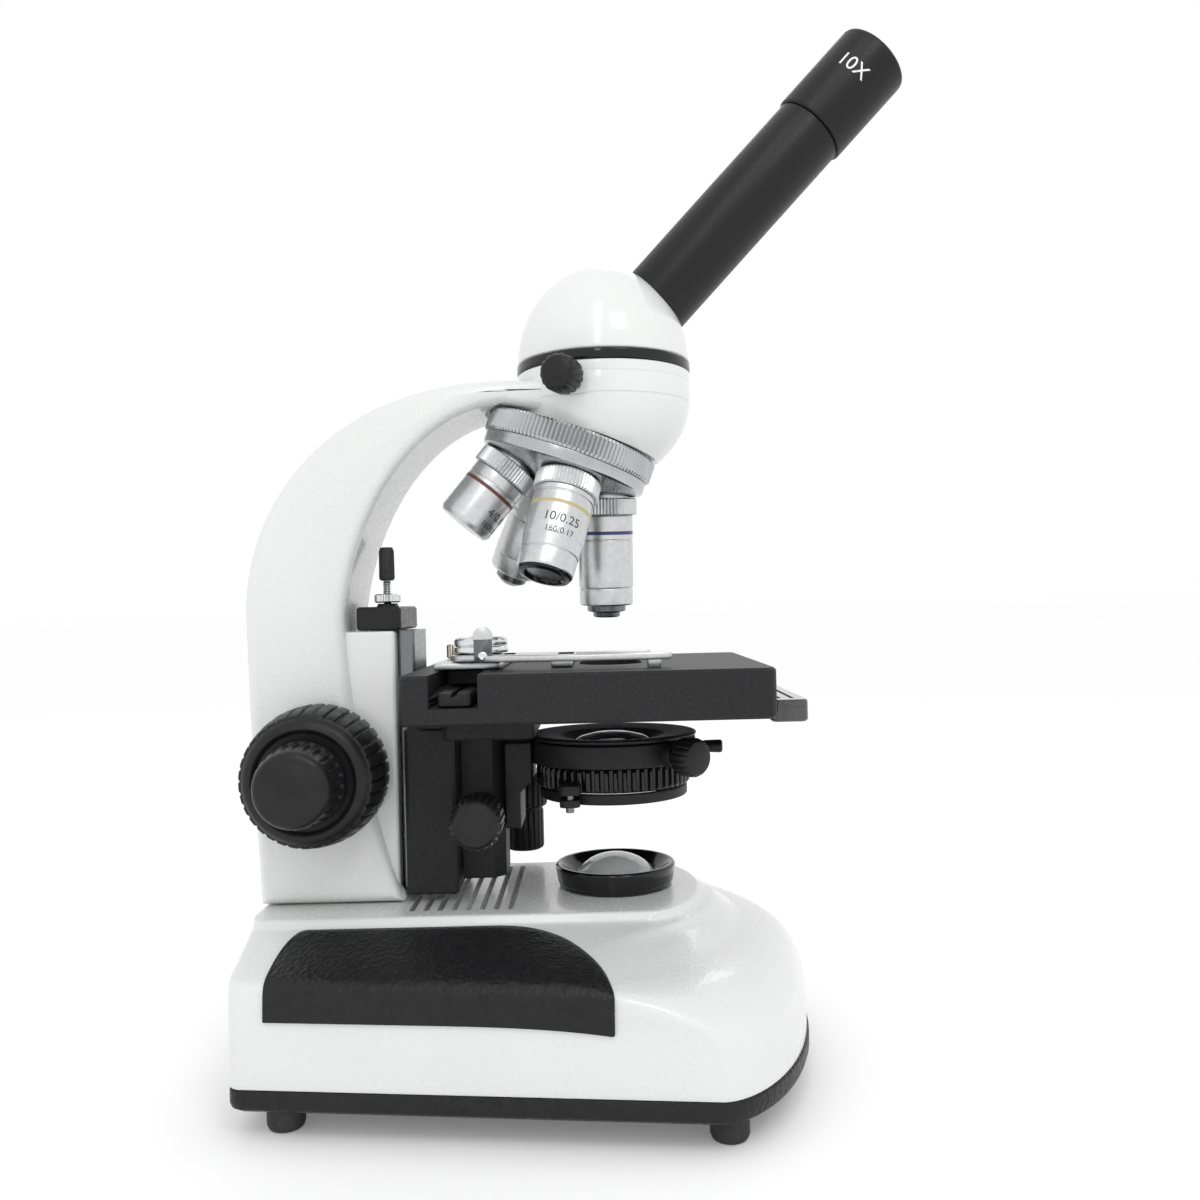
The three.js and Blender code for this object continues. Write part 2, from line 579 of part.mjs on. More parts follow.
// An objective along +Z of its own frame, measured from the cone's apex.
function objective(index, sections, knurl) {
  const { seat, cone } = TURRET;
  const start = seat + GAP;
  const profile = [[0, start - 5], [9.4, start - 5], [9.4, start], [knurl - 0.7, start], [knurl - 0.7, start + 6.6]];
  for (const [r, z] of sections) profile.push([r, start + z]);
  profile.push([0, start + sections[sections.length - 1][1]]);
  const grip = slab(knurled(knurl, knurl - 0.8, 20), start + 0.4, start + 6.6);
  const frame = turretFrame().multiply(stationTurn(index)).multiply(objectiveTilt(cone));
  return placed(lathe(profile, 26).add(grip), frame);
}

const OBJECTIVES = {
  objective_40x: [0, 11.9, [[10.3, 6.8], [10.3, 33.5], [9.9, 34], [10, 40.2], [7.3, 40.6], [7.3, 42.8], [5.2, 42.9], [5.2, 44.7], [4, 45.2]]],
  objective_10x: [1, 11.9, [[11, 6.8], [11, 25], [10.2, 26.5], [10, 36.6], [9.2, 38.2], [5.4, 38.4], [4.6, 37.4]]],
  objective_4x: [2, 11.9, [[10.5, 6.8], [10.5, 26.6], [9.4, 28.6], [7, 28.8], [6, 27.2]]],
  objective_100x: [3, 11.9, [[10.3, 6.8], [10.3, 31.5], [9.9, 32], [9.9, 38.6], [6.4, 39.6], [6.2, 42.6], [3.6, 44.6]]],
};

// ---- head -----------------------------------------------------------------------------------------------
const tubeFrame = () =>
  move(0, TUBE.y, TUBE.z).multiply(new THREE.Matrix4().makeRotationX(rad(TUBE.lean)));

const domeProfile = (r, rise, base) => {
  const profile = [[0, base], [r, base]];
  for (let i = 1; i <= 9; i++) {
    const a = rad(10 * i);
    profile.push([i === 9 ? 0 : r * Math.cos(a), base + rise * Math.sin(a)]);
  }
  return profile;
};

const headBand = () => lathe([[12, BOWL.top + 0.5], [BOWL.r, BOWL.top + 0.5], [BOWL.r, 252], [12, 252]], 40);
const headRing = () => lathe([[12, HEAD.ring], [31.4, HEAD.ring], [32.3, 253], [32.3, 255.2], [31.4, 255.8], [12, 255.8]], 40);

function headDome() {
  const { dome, rise, skin } = HEAD;
  const outer = lathe(domeProfile(BOWL.r - 0.2, rise, dome), 40);
  const hollow = lathe(domeProfile(BOWL.r - skin, rise - skin - 2, dome + 3), 32);
  const sleeve = placed(pipe(TUBE.bore, TUBE.r + 3, TUBE.low, 8, 32), tubeFrame()).intersect(outer);
  return cut(outer.subtract(hollow).add(sleeve), [
    placed(rod(TUBE.r + GAP, TUBE.low - 0.5, 60, 0.1, 32), tubeFrame()),
    rod(10, 250, 262, 0.1, 24),
  ]);
}

function headPrism() {
  const side = new THREE.Shape(points2([[-8, 259.4], [11, 259.4], [11, 266], [1, 278], [-8, 267]]));
  return placed(slab(side, -11.5, 11.5, 0.5), ALONG_X);
}

const eyepieceTube = () => placed(pipe(TUBE.bore, TUBE.r, TUBE.low, TUBE.top - GAP, 36), tubeFrame());

const eyepiece = () =>
  placed(
    lathe(
      [[9, 62], [11.6, 62], [11.6, TUBE.top], [14.1, TUBE.top], [14.5, TUBE.top + 0.6], [14.5, TUBE.end - 1.4],
        [13.4, TUBE.end], [11.4, TUBE.end], [10.2, 119.5], [10.2, 113], [9, 113]],
      36,
    ),
    tubeFrame(),
  );

const eyeLens = () =>
  placed(lathe([[0, 113.3], [9.9, 113.3], [9.9, 116.4], [7.6, 117.6], [4, 118.5], [0, 118.8]], 28), tubeFrame());

const headClamp = () =>
  placed(
    joined([rod(1.9, 24, 37, 0.2, 12), rod(3.6, 32.6, 36, 0.3, 16), slab(toothed(6.6, 6, 10, 0.6), 36, 45.4), rod(5.4, 45, 47.4, 0.9, 20)]),
    clampFrame(),
  );

// ---- assembly ---------------------------------------------------------------------------------------------
const WHITE = 0xe9eae8;
const BLACK = 0x1c1c1e;
const SILVER = 0xb9bbbd;
const STEEL = 0xcfd2d4;
const GLASS = 0xdfe8ea;

const parts = [
  ["base_housing", WHITE, baseHousing()],
  ["base_plate", BLACK, basePlate()],
  ["foot_rear_left", BLACK, foot(-FOOT.rearX, FOOT.rearY)],
  ["foot_rear_right", BLACK, foot(FOOT.rearX, FOOT.rearY)],
  ["foot_front_left", BLACK, foot(-FOOT.frontX, FOOT.frontY)],
  ["foot_front_right", BLACK, foot(FOOT.frontX, FOOT.frontY)],
  ["grip_pad_left", BLACK, gripPad(-1)],
  ["grip_pad_right", BLACK, gripPad(1)],
  ["lamp_collar", BLACK, lampCollar()],
  ["field_lens", GLASS, fieldLens()],
  ["led_board", 0x2f6b3a, rod(12, 34.8, 36.4, 0.2, 20)],
  ["led_emitter", 0xf2e6a0, lathe([[0, 36.7], [3.6, 36.7], [3.6, 38.2], [2.4, 39.6], [0, 40.2]], 14)],
  ["power_inlet", BLACK, powerInlet()],
  ["power_switch", BLACK, rocker()],
  ["dimmer_dial", BLACK, dimmerDial()],
  ["arm", WHITE, arm()],
  ["guide_rail", STEEL, guideRail()],
  ["stop_bar", BLACK, stopBar()],
  ["stop_screw", BLACK, stopScrew()],
  ["stop_nut", SILVER, stopNut()],
  ["coarse_knob_left", BLACK, coarseKnob(-1)],
  ["coarse_knob_right", BLACK, coarseKnob(1)],
  ["coarse_pinion", STEEL, coarsePinion()],
  ["fine_knob_left", BLACK, fineKnob(-1)],
  ["fine_knob_right", BLACK, fineKnob(1)],
  ["focus_rack", STEEL, focusRack()],
  ["focus_slide", BLACK, focusSlide()],
  ["stage_bracket", BLACK, stageBracket()],
  ["stage_top", BLACK, stageTop()],
  ["x_rail", BLACK, xRail()],
  ["x_carriage", BLACK, xCarriage()],
  ["slide_holder", SILVER, slideHolder()],
  ["clip_finger", SILVER, clipFinger()],
  ["holder_screw", 0xb49a5a, holderScrew()],
  ["y_knob", BLACK, yKnob()],
  ["x_knob", BLACK, xKnob()],
  ["stage_guard", 0x4a4a4c, stageGuard()],
  ["condenser_rail", BLACK, condenserRail()],
  ["condenser_holder", BLACK, condenserHolder()],
  ["condenser_body", BLACK, condenserBody()],
  ["condenser_lens", GLASS, condenserLens()],
  ["iris_lever", BLACK, irisLever()],
  ["filter_tray", BLACK, filterTray()],
  ["condenser_clamp_screw", BLACK, condenserClamp()],
  ["condenser_knob", BLACK, condenserKnob()],
  ["nosepiece_mount", STEEL, nosepieceMount()],
  ["nosepiece_turret", STEEL, nosepieceTurret()],
  ...Object.entries(OBJECTIVES).map(([name, [index, knurl, sections]]) => [name, SILVER, objective(index, sections, knurl)]),
  ["head_band", WHITE, headBand()],
  ["head_ring", BLACK, headRing()],
  ["head_dome", WHITE, headDome()],
  ["head_prism", GLASS, headPrism()],
  ["eyepiece_tube", BLACK, eyepieceTube()],
  ["eyepiece", BLACK, eyepiece()],
  ["eye_lens", GLASS, eyeLens()],
  ["head_clamp_screw", BLACK, headClamp()],
];

function meshOf([name, color, body]) {
  const made = body.getMesh();
  const geometry = new THREE.BufferGeometry();
  geometry.setAttribute("position", new THREE.BufferAttribute(made.vertProperties, made.numProp));
  geometry.setIndex(new THREE.BufferAttribute(made.triVerts, 1));
  const mesh = new THREE.Mesh(geometry, new THREE.MeshStandardMaterial({ color }));
  mesh.name = name;
  return mesh;
}

const root = new THREE.Group();
root.add(...parts.map(meshOf));
const bounds = new THREE.Box3().setFromObject(root);
const shift = (bounds.min.y + bounds.max.y) / 2;
for (const mesh of root.children) mesh.position.y = -shift;

export default root;
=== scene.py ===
"""Looks of the microscope: turned, knurled and cast pieces with procedural finishes."""
import math

import bmesh
import bpy
from mathutils import Matrix, Vector


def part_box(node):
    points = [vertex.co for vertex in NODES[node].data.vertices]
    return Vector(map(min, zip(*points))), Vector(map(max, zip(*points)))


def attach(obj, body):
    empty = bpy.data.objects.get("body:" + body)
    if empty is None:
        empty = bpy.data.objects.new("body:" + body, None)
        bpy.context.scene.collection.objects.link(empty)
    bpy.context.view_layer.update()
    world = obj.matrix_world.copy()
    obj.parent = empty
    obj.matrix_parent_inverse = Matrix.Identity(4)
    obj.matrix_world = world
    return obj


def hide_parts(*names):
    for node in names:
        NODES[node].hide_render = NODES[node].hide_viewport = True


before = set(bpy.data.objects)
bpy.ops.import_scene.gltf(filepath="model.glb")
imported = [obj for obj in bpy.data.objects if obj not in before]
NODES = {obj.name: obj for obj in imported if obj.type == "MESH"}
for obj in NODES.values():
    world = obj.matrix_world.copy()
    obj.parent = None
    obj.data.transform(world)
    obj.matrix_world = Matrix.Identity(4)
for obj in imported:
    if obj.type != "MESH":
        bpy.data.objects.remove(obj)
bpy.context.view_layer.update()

# The optical axis, in the row frame. Everything below is in millimetres from its foot.
_low, _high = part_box("head_ring")
AXIS_X = (_low[0] + _high[0]) / 2
AXIS_Y = (_low[1] + _high[1]) / 2
HOME = Matrix.Translation((AXIS_X, AXIS_Y, 0)) @ Matrix.Scale(0.001, 4)
DEG = math.radians
TAU = 2 * math.pi


# ---- frames ---------------------------------------------------------------------------------------
def shift(x, y, z):
    return Matrix.Translation((x, y, z))


def basis(x, y, z):
    return Matrix((x, y, z)).transposed().to_4x4()


def turn_about(axis, degrees):
    return Matrix.Rotation(DEG(degrees), 4, axis)


IDENTITY = Matrix.Identity(4)
ALONG_X = basis((0, 1, 0), (0, 0, 1), (1, 0, 0))
ALONG_MINUS_X = basis((0, -1, 0), (0, 0, 1), (-1, 0, 0))
ALONG_Y = basis((-1, 0, 0), (0, 0, 1), (0, 1, 0))
TUBE = shift(0, -20.8, 280.3) @ turn_about("X", 43.3)
TURRET = shift(0, 0, 262) @ turn_about("X", 200)
CLAMP = shift(0, 0, 245.5) @ turn_about("Z", 159.3) @ turn_about("Y", 90)
DIAL = shift(74.3, -14, 0)
STOP = shift(0, 83, 0)
FINGER_PIVOT = shift(-20, 47, 0)
STALK = shift(46, 37, 0)
TRAY_PIVOT = shift(-27.6, 15.6, 0)
SHORT_OF_CLICK = 14
STATIONS = 4


def knob_frame(side):
    return shift(0, 103, 110) @ (ALONG_X if side > 0 else ALONG_MINUS_X)


def radial(degrees, z):
    return shift(0, 0, z) @ turn_about("Z", -90 - degrees) @ turn_about("Y", 90)


# ---- mesh tools -------------------------------------------------------------------------------------
def rounded(profile, r=0.35, steps=3):
    """The profile with each inner corner replaced by a short curve."""
    out = [profile[0]]
    for a, b, c in zip(profile, profile[1:], profile[2:]):
        a2, b2, c2 = (Vector(p[:2]) for p in (a, b, c))
        reach = min(r, (a2 - b2).length * 0.45, (c2 - b2).length * 0.45)
        if reach < 0.02 or (b2 - a2).angle(c2 - b2, 0) < DEG(8):
            out.append(b)
            continue
        start = b2 + (a2 - b2).normalized() * reach
        end = b2 + (c2 - b2).normalized() * reach
        for i in range(steps + 1):
            t = i / steps
            p = (1 - t) ** 2 * start + 2 * t * (1 - t) * b2 + t * t * end
            out.append((p.x, p.y, b[2] if len(b) > 2 else 0))
    out.append(profile[-1])
    return out


def turned(profile, n=96, wave=None, r=0.35, closed=False):
    """Turns (radius, height[, ripple]) points about Z. wave(angle) scales the ripple added to the radius."""
    if closed:
        profile = list(profile) + [profile[0]]
    points = rounded(profile, r) if r else profile
    if closed:
        points = points[:-1]
    verts, faces, rings = [], [], []
    for p in points:
        ripple = p[2] if len(p) > 2 else 0
        if p[0] < 1e-6:
            verts.append((0, 0, p[1]))
            rings.append([len(verts) - 1] * n)
            continue
        ring = []
        for i in range(n):
            a = TAU * i / n
            radius = p[0] + (ripple * wave(a) if wave and ripple else 0)
            verts.append((radius * math.cos(a), radius * math.sin(a), p[1]))
            ring.append(len(verts) - 1)
        rings.append(ring)
    pairs = list(zip(rings, rings[1:]))
    if closed:
        pairs.append((rings[-1], rings[0]))
    for low, high in pairs:
        for i in range(n):
            j = (i + 1) % n
            face = []
            for v in (low[i], low[j], high[j], high[i]):
                if v not in face:
                    face.append(v)
            if len(face) > 2:
                faces.append(face)
    return verts, faces


def teeth(count, share=0.5, edge=0.12):
    """A wave of square teeth with sloped flanks: 0 on a tooth, -1 in a gap."""

    def wave(a):
        t = (a / TAU * count) % 1
        if t < share:
            return 0
        if t < share + edge:
            return -(t - share) / edge
        if t > 1 - edge:
            return -(1 - t) / edge
        return -1

    return wave


def saw(count):
    """A wave of fine pointed ridges."""
    return lambda a: -abs(2 * ((a / TAU * count) % 1) - 1)


def offset(outline, d):
    """The closed outline moved inward by d at every corner."""
    out = []
    n = len(outline)
    for i in range(n):
        a, b, c = (Vector(outline[(i + k) % n]) for k in (-1, 0, 1))
        e, f = (b - a).normalized(), (c - b).normalized()
        m = Vector((-e.y - f.y, e.x + f.x))
        m = m.normalized() if m.length > 1e-6 else Vector((-e.y, e.x))
        miter = max(0.5, m.dot(Vector((-e.y, e.x))))
        out.append(tuple(b + m * (d / miter)))
    return out


def plate(outline, z0, z1, bevel=0.4, steps=3):
    """A flat outline, anticlockwise, raised from z0 to z1 with rounded edges."""
    levels = []
    for i in range(steps + 1):
        a = (math.pi / 2) * i / steps
        levels.append((bevel * (1 - math.sin(a)), z0 + bevel * (1 - math.cos(a))))
    for i in range(steps + 1):
        a = (math.pi / 2) * i / steps
        levels.append((bevel * (1 - math.cos(a)), z1 - bevel * (1 - math.sin(a))))
    verts, faces = [], []
    n = len(outline)
    for d, z in levels:
        verts += [(x, y, z) for x, y in offset(outline, d)]
    for k in range(len(levels) - 1):
        for i in range(n):
            j = (i + 1) % n
            faces.append([k * n + i, k * n + j, (k + 1) * n + j, (k + 1) * n + i])
    faces.append(list(range(n))[::-1])
    faces.append(list(range((len(levels) - 1) * n, len(levels) * n)))
    return verts, faces


def arc(cx, cy, r, start, end, steps=8):
    return [
        (
            cx + r * math.cos(DEG(start + (end - start) * i / steps)),
            cy + r * math.sin(DEG(start + (end - start) * i / steps)),
        )
        for i in range(steps + 1)
    ]


def round_rect(x0, x1, y0, y1, r):
    return (
        arc(x1 - r, y0 + r, r, -90, 0)
        + arc(x1 - r, y1 - r, r, 0, 90)
        + arc(x0 + r, y1 - r, r, 90, 180)
        + arc(x0 + r, y0 + r, r, 180, 270)
    )


def bezier(p0, p1, p2, p3, steps=24):
    out = []
    for i in range(1, steps + 1):
        t = i / steps
        w = ((1 - t) ** 3, 3 * t * (1 - t) ** 2, 3 * t * t * (1 - t), t**3)
        out.append(tuple(sum(k * p[a] for k, p in zip(w, (p0, p1, p2, p3))) for a in (0, 1)))
    return out


def make(name, shapes, materials, body, nodes=(), smooth=32):
    """One object from (verts, faces, frame[, material index]) shapes, in the row frame, riding on a body."""
    verts, faces, index = [], [], []
    for shape in shapes:
        v, f, m = shape[:3]
        k = shape[3] if len(shape) > 3 else 0
        base = len(verts)
        place = HOME @ m
        verts += [place @ Vector(p) for p in v]
        faces += [[base + i for i in face] for face in f]
        index += [k] * len(f)
    mesh = bpy.data.meshes.new(name)
    mesh.from_pydata(verts, [], faces)
    mesh.polygons.foreach_set("material_index", index)
    work = bmesh.new()
    work.from_mesh(mesh)
    bmesh.ops.recalc_face_normals(work, faces=work.faces)
    work.to_mesh(mesh)
    work.free()
    obj = bpy.data.objects.new(name, mesh)
    bpy.context.collection.objects.link(obj)
    for m in materials if isinstance(materials, (list, tuple)) else [materials]:
        mesh.materials.append(m)
    shade(obj, smooth)
    if body:
        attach(obj, body)
    if nodes:
        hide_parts(*nodes)
    return obj


def shade(obj, degrees=32):
    obj.data.polygons.foreach_set("use_smooth", [True] * len(obj.data.polygons))
    obj.data.set_sharp_from_angle(angle=DEG(degrees))


def boolean(obj, shapes, how="DIFFERENCE"):
    """Cuts or crops an object, which isn't riding yet, with solids in the part's millimetres."""
    for shape in shapes:
        tool = make("tool", [shape], [], None)
        mod = obj.modifiers.new("cut", "BOOLEAN")
        mod.operation = how
        mod.object = tool
        mod.solver = "EXACT"
        cut = bpy.data.meshes.new_from_object(obj.evaluated_get(bpy.context.evaluated_depsgraph_get()))
        obj.modifiers.clear()
        obj.data = cut
        bpy.data.objects.remove(tool)


def block(x0, x1, y0, y1, z0, z1):
    v = [(x, y, z) for x in (x0, x1) for y in (y0, y1) for z in (z0, z1)]
    return v, [[0, 1, 3, 2], [4, 6, 7, 5], [0, 4, 5, 1], [2, 3, 7, 6], [0, 2, 6, 4], [1, 5, 7, 3]]


# ---- finishes ---------------------------------------------------------------------------------------
class Finish:
    """A Principled material with object-space noise for its colour, roughness and bump."""

    def __init__(self, name, color, roughness, metallic=0.0, **sockets):
        self.mat = bpy.data.materials.new(name)
        self.mat.use_nodes = True
        self.tree = self.mat.node_tree
        self.shader = self.tree.nodes["Principled BSDF"]
        self.color, self.roughness = color, roughness
        self.shader.inputs["Base Color"].default_value = (*color, 1)
        self.shader.inputs["Roughness"].default_value = roughness
        self.shader.inputs["Metallic"].default_value = metallic
        for key, value in sockets.items():
            self.shader.inputs[key.replace("_", " ")].default_value = value
        self.coords = self.tree.nodes.new("ShaderNodeTexCoord").outputs["Object"]
        self.height = None

    def link(self, a, b):
        self.tree.links.new(a, b)

    def noise(self, scale, detail=3.0, stretch=None):
        vector = self.coords
        if stretch:
            mapping = self.tree.nodes.new("ShaderNodeMapping")
            mapping.inputs["Scale"].default_value = stretch
            self.link(vector, mapping.inputs["Vector"])
            vector = mapping.outputs["Vector"]
        node = self.tree.nodes.new("ShaderNodeTexNoise")
        node.inputs["Scale"].default_value = scale
        node.inputs["Detail"].default_value = detail
        self.link(vector, node.inputs["Vector"])
        return node.outputs["Fac"]

    def cells(self, scale, smooth=0.35):
        node = self.tree.nodes.new("ShaderNodeTexVoronoi")
        node.feature = "SMOOTH_F1"
        node.inputs["Scale"].default_value = scale
        node.inputs["Smoothness"].default_value = smooth
        self.link(self.coords, node.inputs["Vector"])
        return node.outputs["Distance"]

    def ranged(self, value, low, high, start=0.3, end=0.7):
        node = self.tree.nodes.new("ShaderNodeMapRange")
        for key, v in (("From Min", start), ("From Max", end), ("To Min", low), ("To Max", high)):
            node.inputs[key].default_value = v
        self.link(value, node.inputs["Value"])
        return node.outputs["Result"]

    def vary_roughness(self, scale, spread, detail=3.0, stretch=None):
        rough = self.ranged(
            self.noise(scale, detail, stretch),
            self.roughness - spread,
            self.roughness + spread,
        )
        self.link(rough, self.shader.inputs["Roughness"])
        return self

    def vary_color(self, scale, other, detail=4.0, start=0.35, end=0.7):
        mix = self.tree.nodes.new("ShaderNodeMix")
        mix.data_type = "RGBA"
        self.link(self.ranged(self.noise(scale, detail), 0, 1, start, end), mix.inputs["Factor"])
        mix.inputs["A"].default_value = (*self.color, 1)
        mix.inputs["B"].default_value = (*other, 1)
        self.link(mix.outputs["Result"], self.shader.inputs["Base Color"])
        return self

    def bump(self, value, strength, distance):
        node = self.tree.nodes.new("ShaderNodeBump")
        node.inputs["Strength"].default_value = strength
        node.inputs["Distance"].default_value = distance
        self.link(value, node.inputs["Height"])
        if self.height is not None:
            self.link(self.height, node.inputs["Normal"])
        self.height = node.outputs["Normal"]
        self.link(self.height, self.shader.inputs["Normal"])
        return self


def finishes():
    dark = dict(Specular_IOR_Level=0.28)
    white = Finish("white_enamel", (0.735, 0.745, 0.74), 0.24, Coat_Weight=0.4, Coat_Roughness=0.08)
    white.vary_roughness(500, 0.05).vary_color(18, (0.71, 0.72, 0.712))
    white.bump(white.cells(900, 0.3), 0.4, 0.00022).bump(white.noise(1500), 0.15, 0.00012)
    smooth = Finish("white_enamel_smooth", (0.735, 0.745, 0.74), 0.2, Coat_Weight=0.5, Coat_Roughness=0.06)
    smooth.vary_roughness(200, 0.04).vary_color(15, (0.715, 0.725, 0.715))
    smooth.bump(smooth.noise(330, 2), 0.16, 0.0003)
    paint = Finish("black_wrinkle", (0.010, 0.010, 0.011), 0.5, **dark)
    paint.vary_roughness(1400, 0.1).vary_color(900, (0.017, 0.017, 0.019))
    paint.bump(paint.noise(1700, 4), 0.35, 0.00018)
    plastic = Finish("black_plastic", (0.009, 0.009, 0.010), 0.36, **dark)
    plastic.vary_roughness(500, 0.07).vary_color(120, (0.013, 0.013, 0.014))
    plastic.bump(plastic.noise(1500, 3), 0.12, 0.0001)
    gloss = Finish("black_gloss", (0.005, 0.005, 0.006), 0.13, Coat_Weight=0.25, Coat_Roughness=0.05, **dark)
    gloss.vary_roughness(300, 0.05).bump(gloss.noise(700, 2), 0.05, 0.0001)
    grain = Finish("black_grain", (0.009, 0.009, 0.010), 0.42, **dark)
    grain.vary_roughness(700, 0.08).vary_color(300, (0.014, 0.014, 0.015))
    grain.bump(grain.cells(620, 0.2), 0.6, 0.0004).bump(grain.noise(1600), 0.2, 0.0001)
    tube = Finish("black_anodised", (0.009, 0.009, 0.010), 0.38, **dark)
    tube.vary_roughness(900, 0.06).bump(tube.noise(1800, 3), 0.1, 0.00008)
    satin = Finish("satin_metal", (0.66, 0.665, 0.67), 0.34, 1.0)
    satin.vary_roughness(1200, 0.06).vary_color(500, (0.58, 0.585, 0.59)).bump(
        satin.noise(2600, 3),
        0.16,
        0.00006,
    )
    bright = Finish("bright_metal", (0.78, 0.785, 0.79), 0.14, 1.0)
    bright.vary_roughness(700, 0.05).vary_color(90, (0.7, 0.705, 0.71)).bump(
        bright.noise(1500, 2),
        0.04,
        0.00005,
    )
    chrome = Finish("satin_chrome", (0.5, 0.505, 0.52), 0.24, 1.0)
    chrome.vary_roughness(700, 0.06).vary_color(120, (0.44, 0.445, 0.46)).bump(
        chrome.noise(1500, 2),
        0.06,
        0.00005,
    )
    steel = Finish("machined_steel", (0.6, 0.61, 0.62), 0.22, 1.0)
    steel.vary_roughness(900, 0.07, 3, (1, 1, 0.05)).bump(steel.noise(1500, 3, (1, 1, 0.04)), 0.08, 0.00005)
    dark_steel = Finish("dark_steel", (0.2, 0.205, 0.21), 0.3, 1.0)
    dark_steel.vary_roughness(900, 0.06).bump(dark_steel.noise(1500, 3), 0.08, 0.00005)
    nickel = Finish("nickelled_brass", (0.72, 0.66, 0.5), 0.25, 1.0)
    nickel.vary_roughness(900, 0.06).vary_color(300, (0.62, 0.6, 0.52))
    rubber = Finish("rubber", (0.018, 0.018, 0.018), 0.68)
    rubber.vary_roughness(600, 0.08).vary_color(200, (0.03, 0.03, 0.03)).bump(
        rubber.noise(1200, 4),
        0.2,
        0.0001,
    )
    frosted = Finish(
        "lamp_glass", (0.74, 0.755, 0.76), 0.12, IOR=1.5, Transmission_Weight=0.35, Coat_Weight=0.5,
    )
    frosted.vary_roughness(400, 0.04).vary_color(60, (0.66, 0.675, 0.68))
    lens = Finish("coated_lens", (0.35, 0.4, 0.5), 0.03, IOR=1.6, Transmission_Weight=0.55, Coat_Weight=1.0)
    lens.vary_color(60, (0.42, 0.36, 0.5))
    # Near-black lens for the condenser: painted shade standing in for the dark under the stage, in place of
    # clear glass.
    lens_painted_shade = Finish("lens_painted_shade", (0.02, 0.022, 0.03), 0.05, Specular_IOR_Level=0.4)
    lens_painted_shade.vary_color(60, (0.035, 0.025, 0.04))
    guard = Finish(
        "smoked_guard", (0.09, 0.088, 0.09), 0.12, IOR=1.49, Transmission_Weight=0.6, Coat_Weight=0.4,
    )
    guard.vary_roughness(300, 0.05)
    board = Finish("board_green", (0.02, 0.13, 0.05), 0.35)
    board.vary_color(300, (0.03, 0.17, 0.07)).bump(board.noise(900), 0.1, 0.0001)
    led = Finish("led_phosphor", (0.9, 0.8, 0.35), 0.25)
    led.vary_color(500, (0.95, 0.88, 0.5))
    ink = Finish("printed_ink", (0.02, 0.02, 0.022), 0.5)
    ink.vary_color(900, (0.05, 0.05, 0.055))
    pale = Finish("printed_white", (0.8, 0.8, 0.8), 0.45)
    pale.vary_color(900, (0.7, 0.7, 0.7))
    # A darker copy of the satin metal for the clip's tab: painted shade standing in for the dark the metal
    # reflects.
    painted_shade_satin = Finish("satin_painted_shade", (0.16, 0.16, 0.165), 0.36, 0.6)
    painted_shade_satin.vary_roughness(800, 0.06).bump(painted_shade_satin.noise(1500), 0.1, 0.0001)
    bands = {}
    for name, color in (
        ("red", (0.13, 0.04, 0.035)),
        ("yellow", (0.52, 0.44, 0.22)),
        ("blue", (0.035, 0.045, 0.15)),
        ("cream", (0.78, 0.76, 0.68)),
    ):
        band = Finish("band_" + name, color, 0.35)
        bands[name] = band.vary_color(800, tuple(c * 0.85 for c in color)).mat
    own = dict(
        white=white, smooth=smooth, paint=paint, plastic=plastic, gloss=gloss, grain=grain, tube=tube,
        satin=satin, bright=bright, chrome=chrome, steel=steel, dark_steel=dark_steel, nickel=nickel,
        rubber=rubber, frosted=frosted, lens=lens, lens_painted_shade=lens_painted_shade, guard=guard, board=board,
        led=led, ink=ink, pale=pale, painted_shade_satin=painted_shade_satin,
    )
    return {**{k: f.mat for k, f in own.items()}, **bands}


MAT = finishes()


# ---- base -------------------------------------------------------------------------------------------
# Levels of the shell: height, half width at the rear, half width and Y where the side turns, front,
# and the share of a growth that lifts the level.
LEVELS = [
    (16.7, 66.9, 84, -30, -67.6, 0),
    (17.4, 67.3, 84.4, -30, -68, 0),
    (27, 67.3, 84.2, -29, -67.8, 0),
    (36, 67.3, 83.8, -26, -67, 0),
    (43, 67.1, 83, -11, -63.5, 0),
    (47.2, 66.6, 82, 1, -57.5, 0.2),
    (49.6, 65, 79.5, 9, -50, 0.5),
    (51.2, 61, 75, 14, -45, 0.9),
    (55, 50, 58, 10, -40, 1),
    (57.6, 43.6, 45.8, -5, -37, 1),
    (58.5, 41.2, 41.9, -8, -35.6, 1),
    (59.3, 40.1, 40.3, -9.4, -34, 1),
    (61.1, 39.1, 39.1, -11.6, -31.4, 1),
    (61.8, 38.4, 38.4, -12, -30.4, 1),
    (62, 37.2, 37.2, -12, -29.2, 1),
]
REAR = 125.0


def base_ring(z, rear_half, half, turn, front, rear=REAR, corner=5.0):
    """One level of the outline: a square rear, straight sides that widen forwards, and a bowed front."""
    side = [(x, y) for y, x in arc(rear - corner, rear_half - corner, corner, 0, 90, 8)]
    foot = side[-1]
    side += [(foot[0] + (half - foot[0]) * i / 14, foot[1] + (turn - foot[1]) * i / 14) for i in range(1, 15)]
    side += bezier((half, turn), (half, turn + 0.37 * (front - turn)), (0.58 * half, front), (0, front), 56)
    return [(x, y, z) for x, y in side] + [(-x, y, z) for x, y in side[-2::-1]]


def loft(rings):
    """A skin through rings of equally many points, capped at both ends."""
    n = len(rings[0])
    verts = [p for ring in rings for p in ring]
    faces = []
    for k in range(len(rings) - 1):
        for i in range(n):
            j = (i + 1) % n
            faces.append([k * n + i, k * n + j, (k + 1) * n + j, (k + 1) * n + i])
    faces.append(list(range(n))[::-1])
    faces.append(list(range((len(rings) - 1) * n, len(rings) * n)))
    return verts, faces


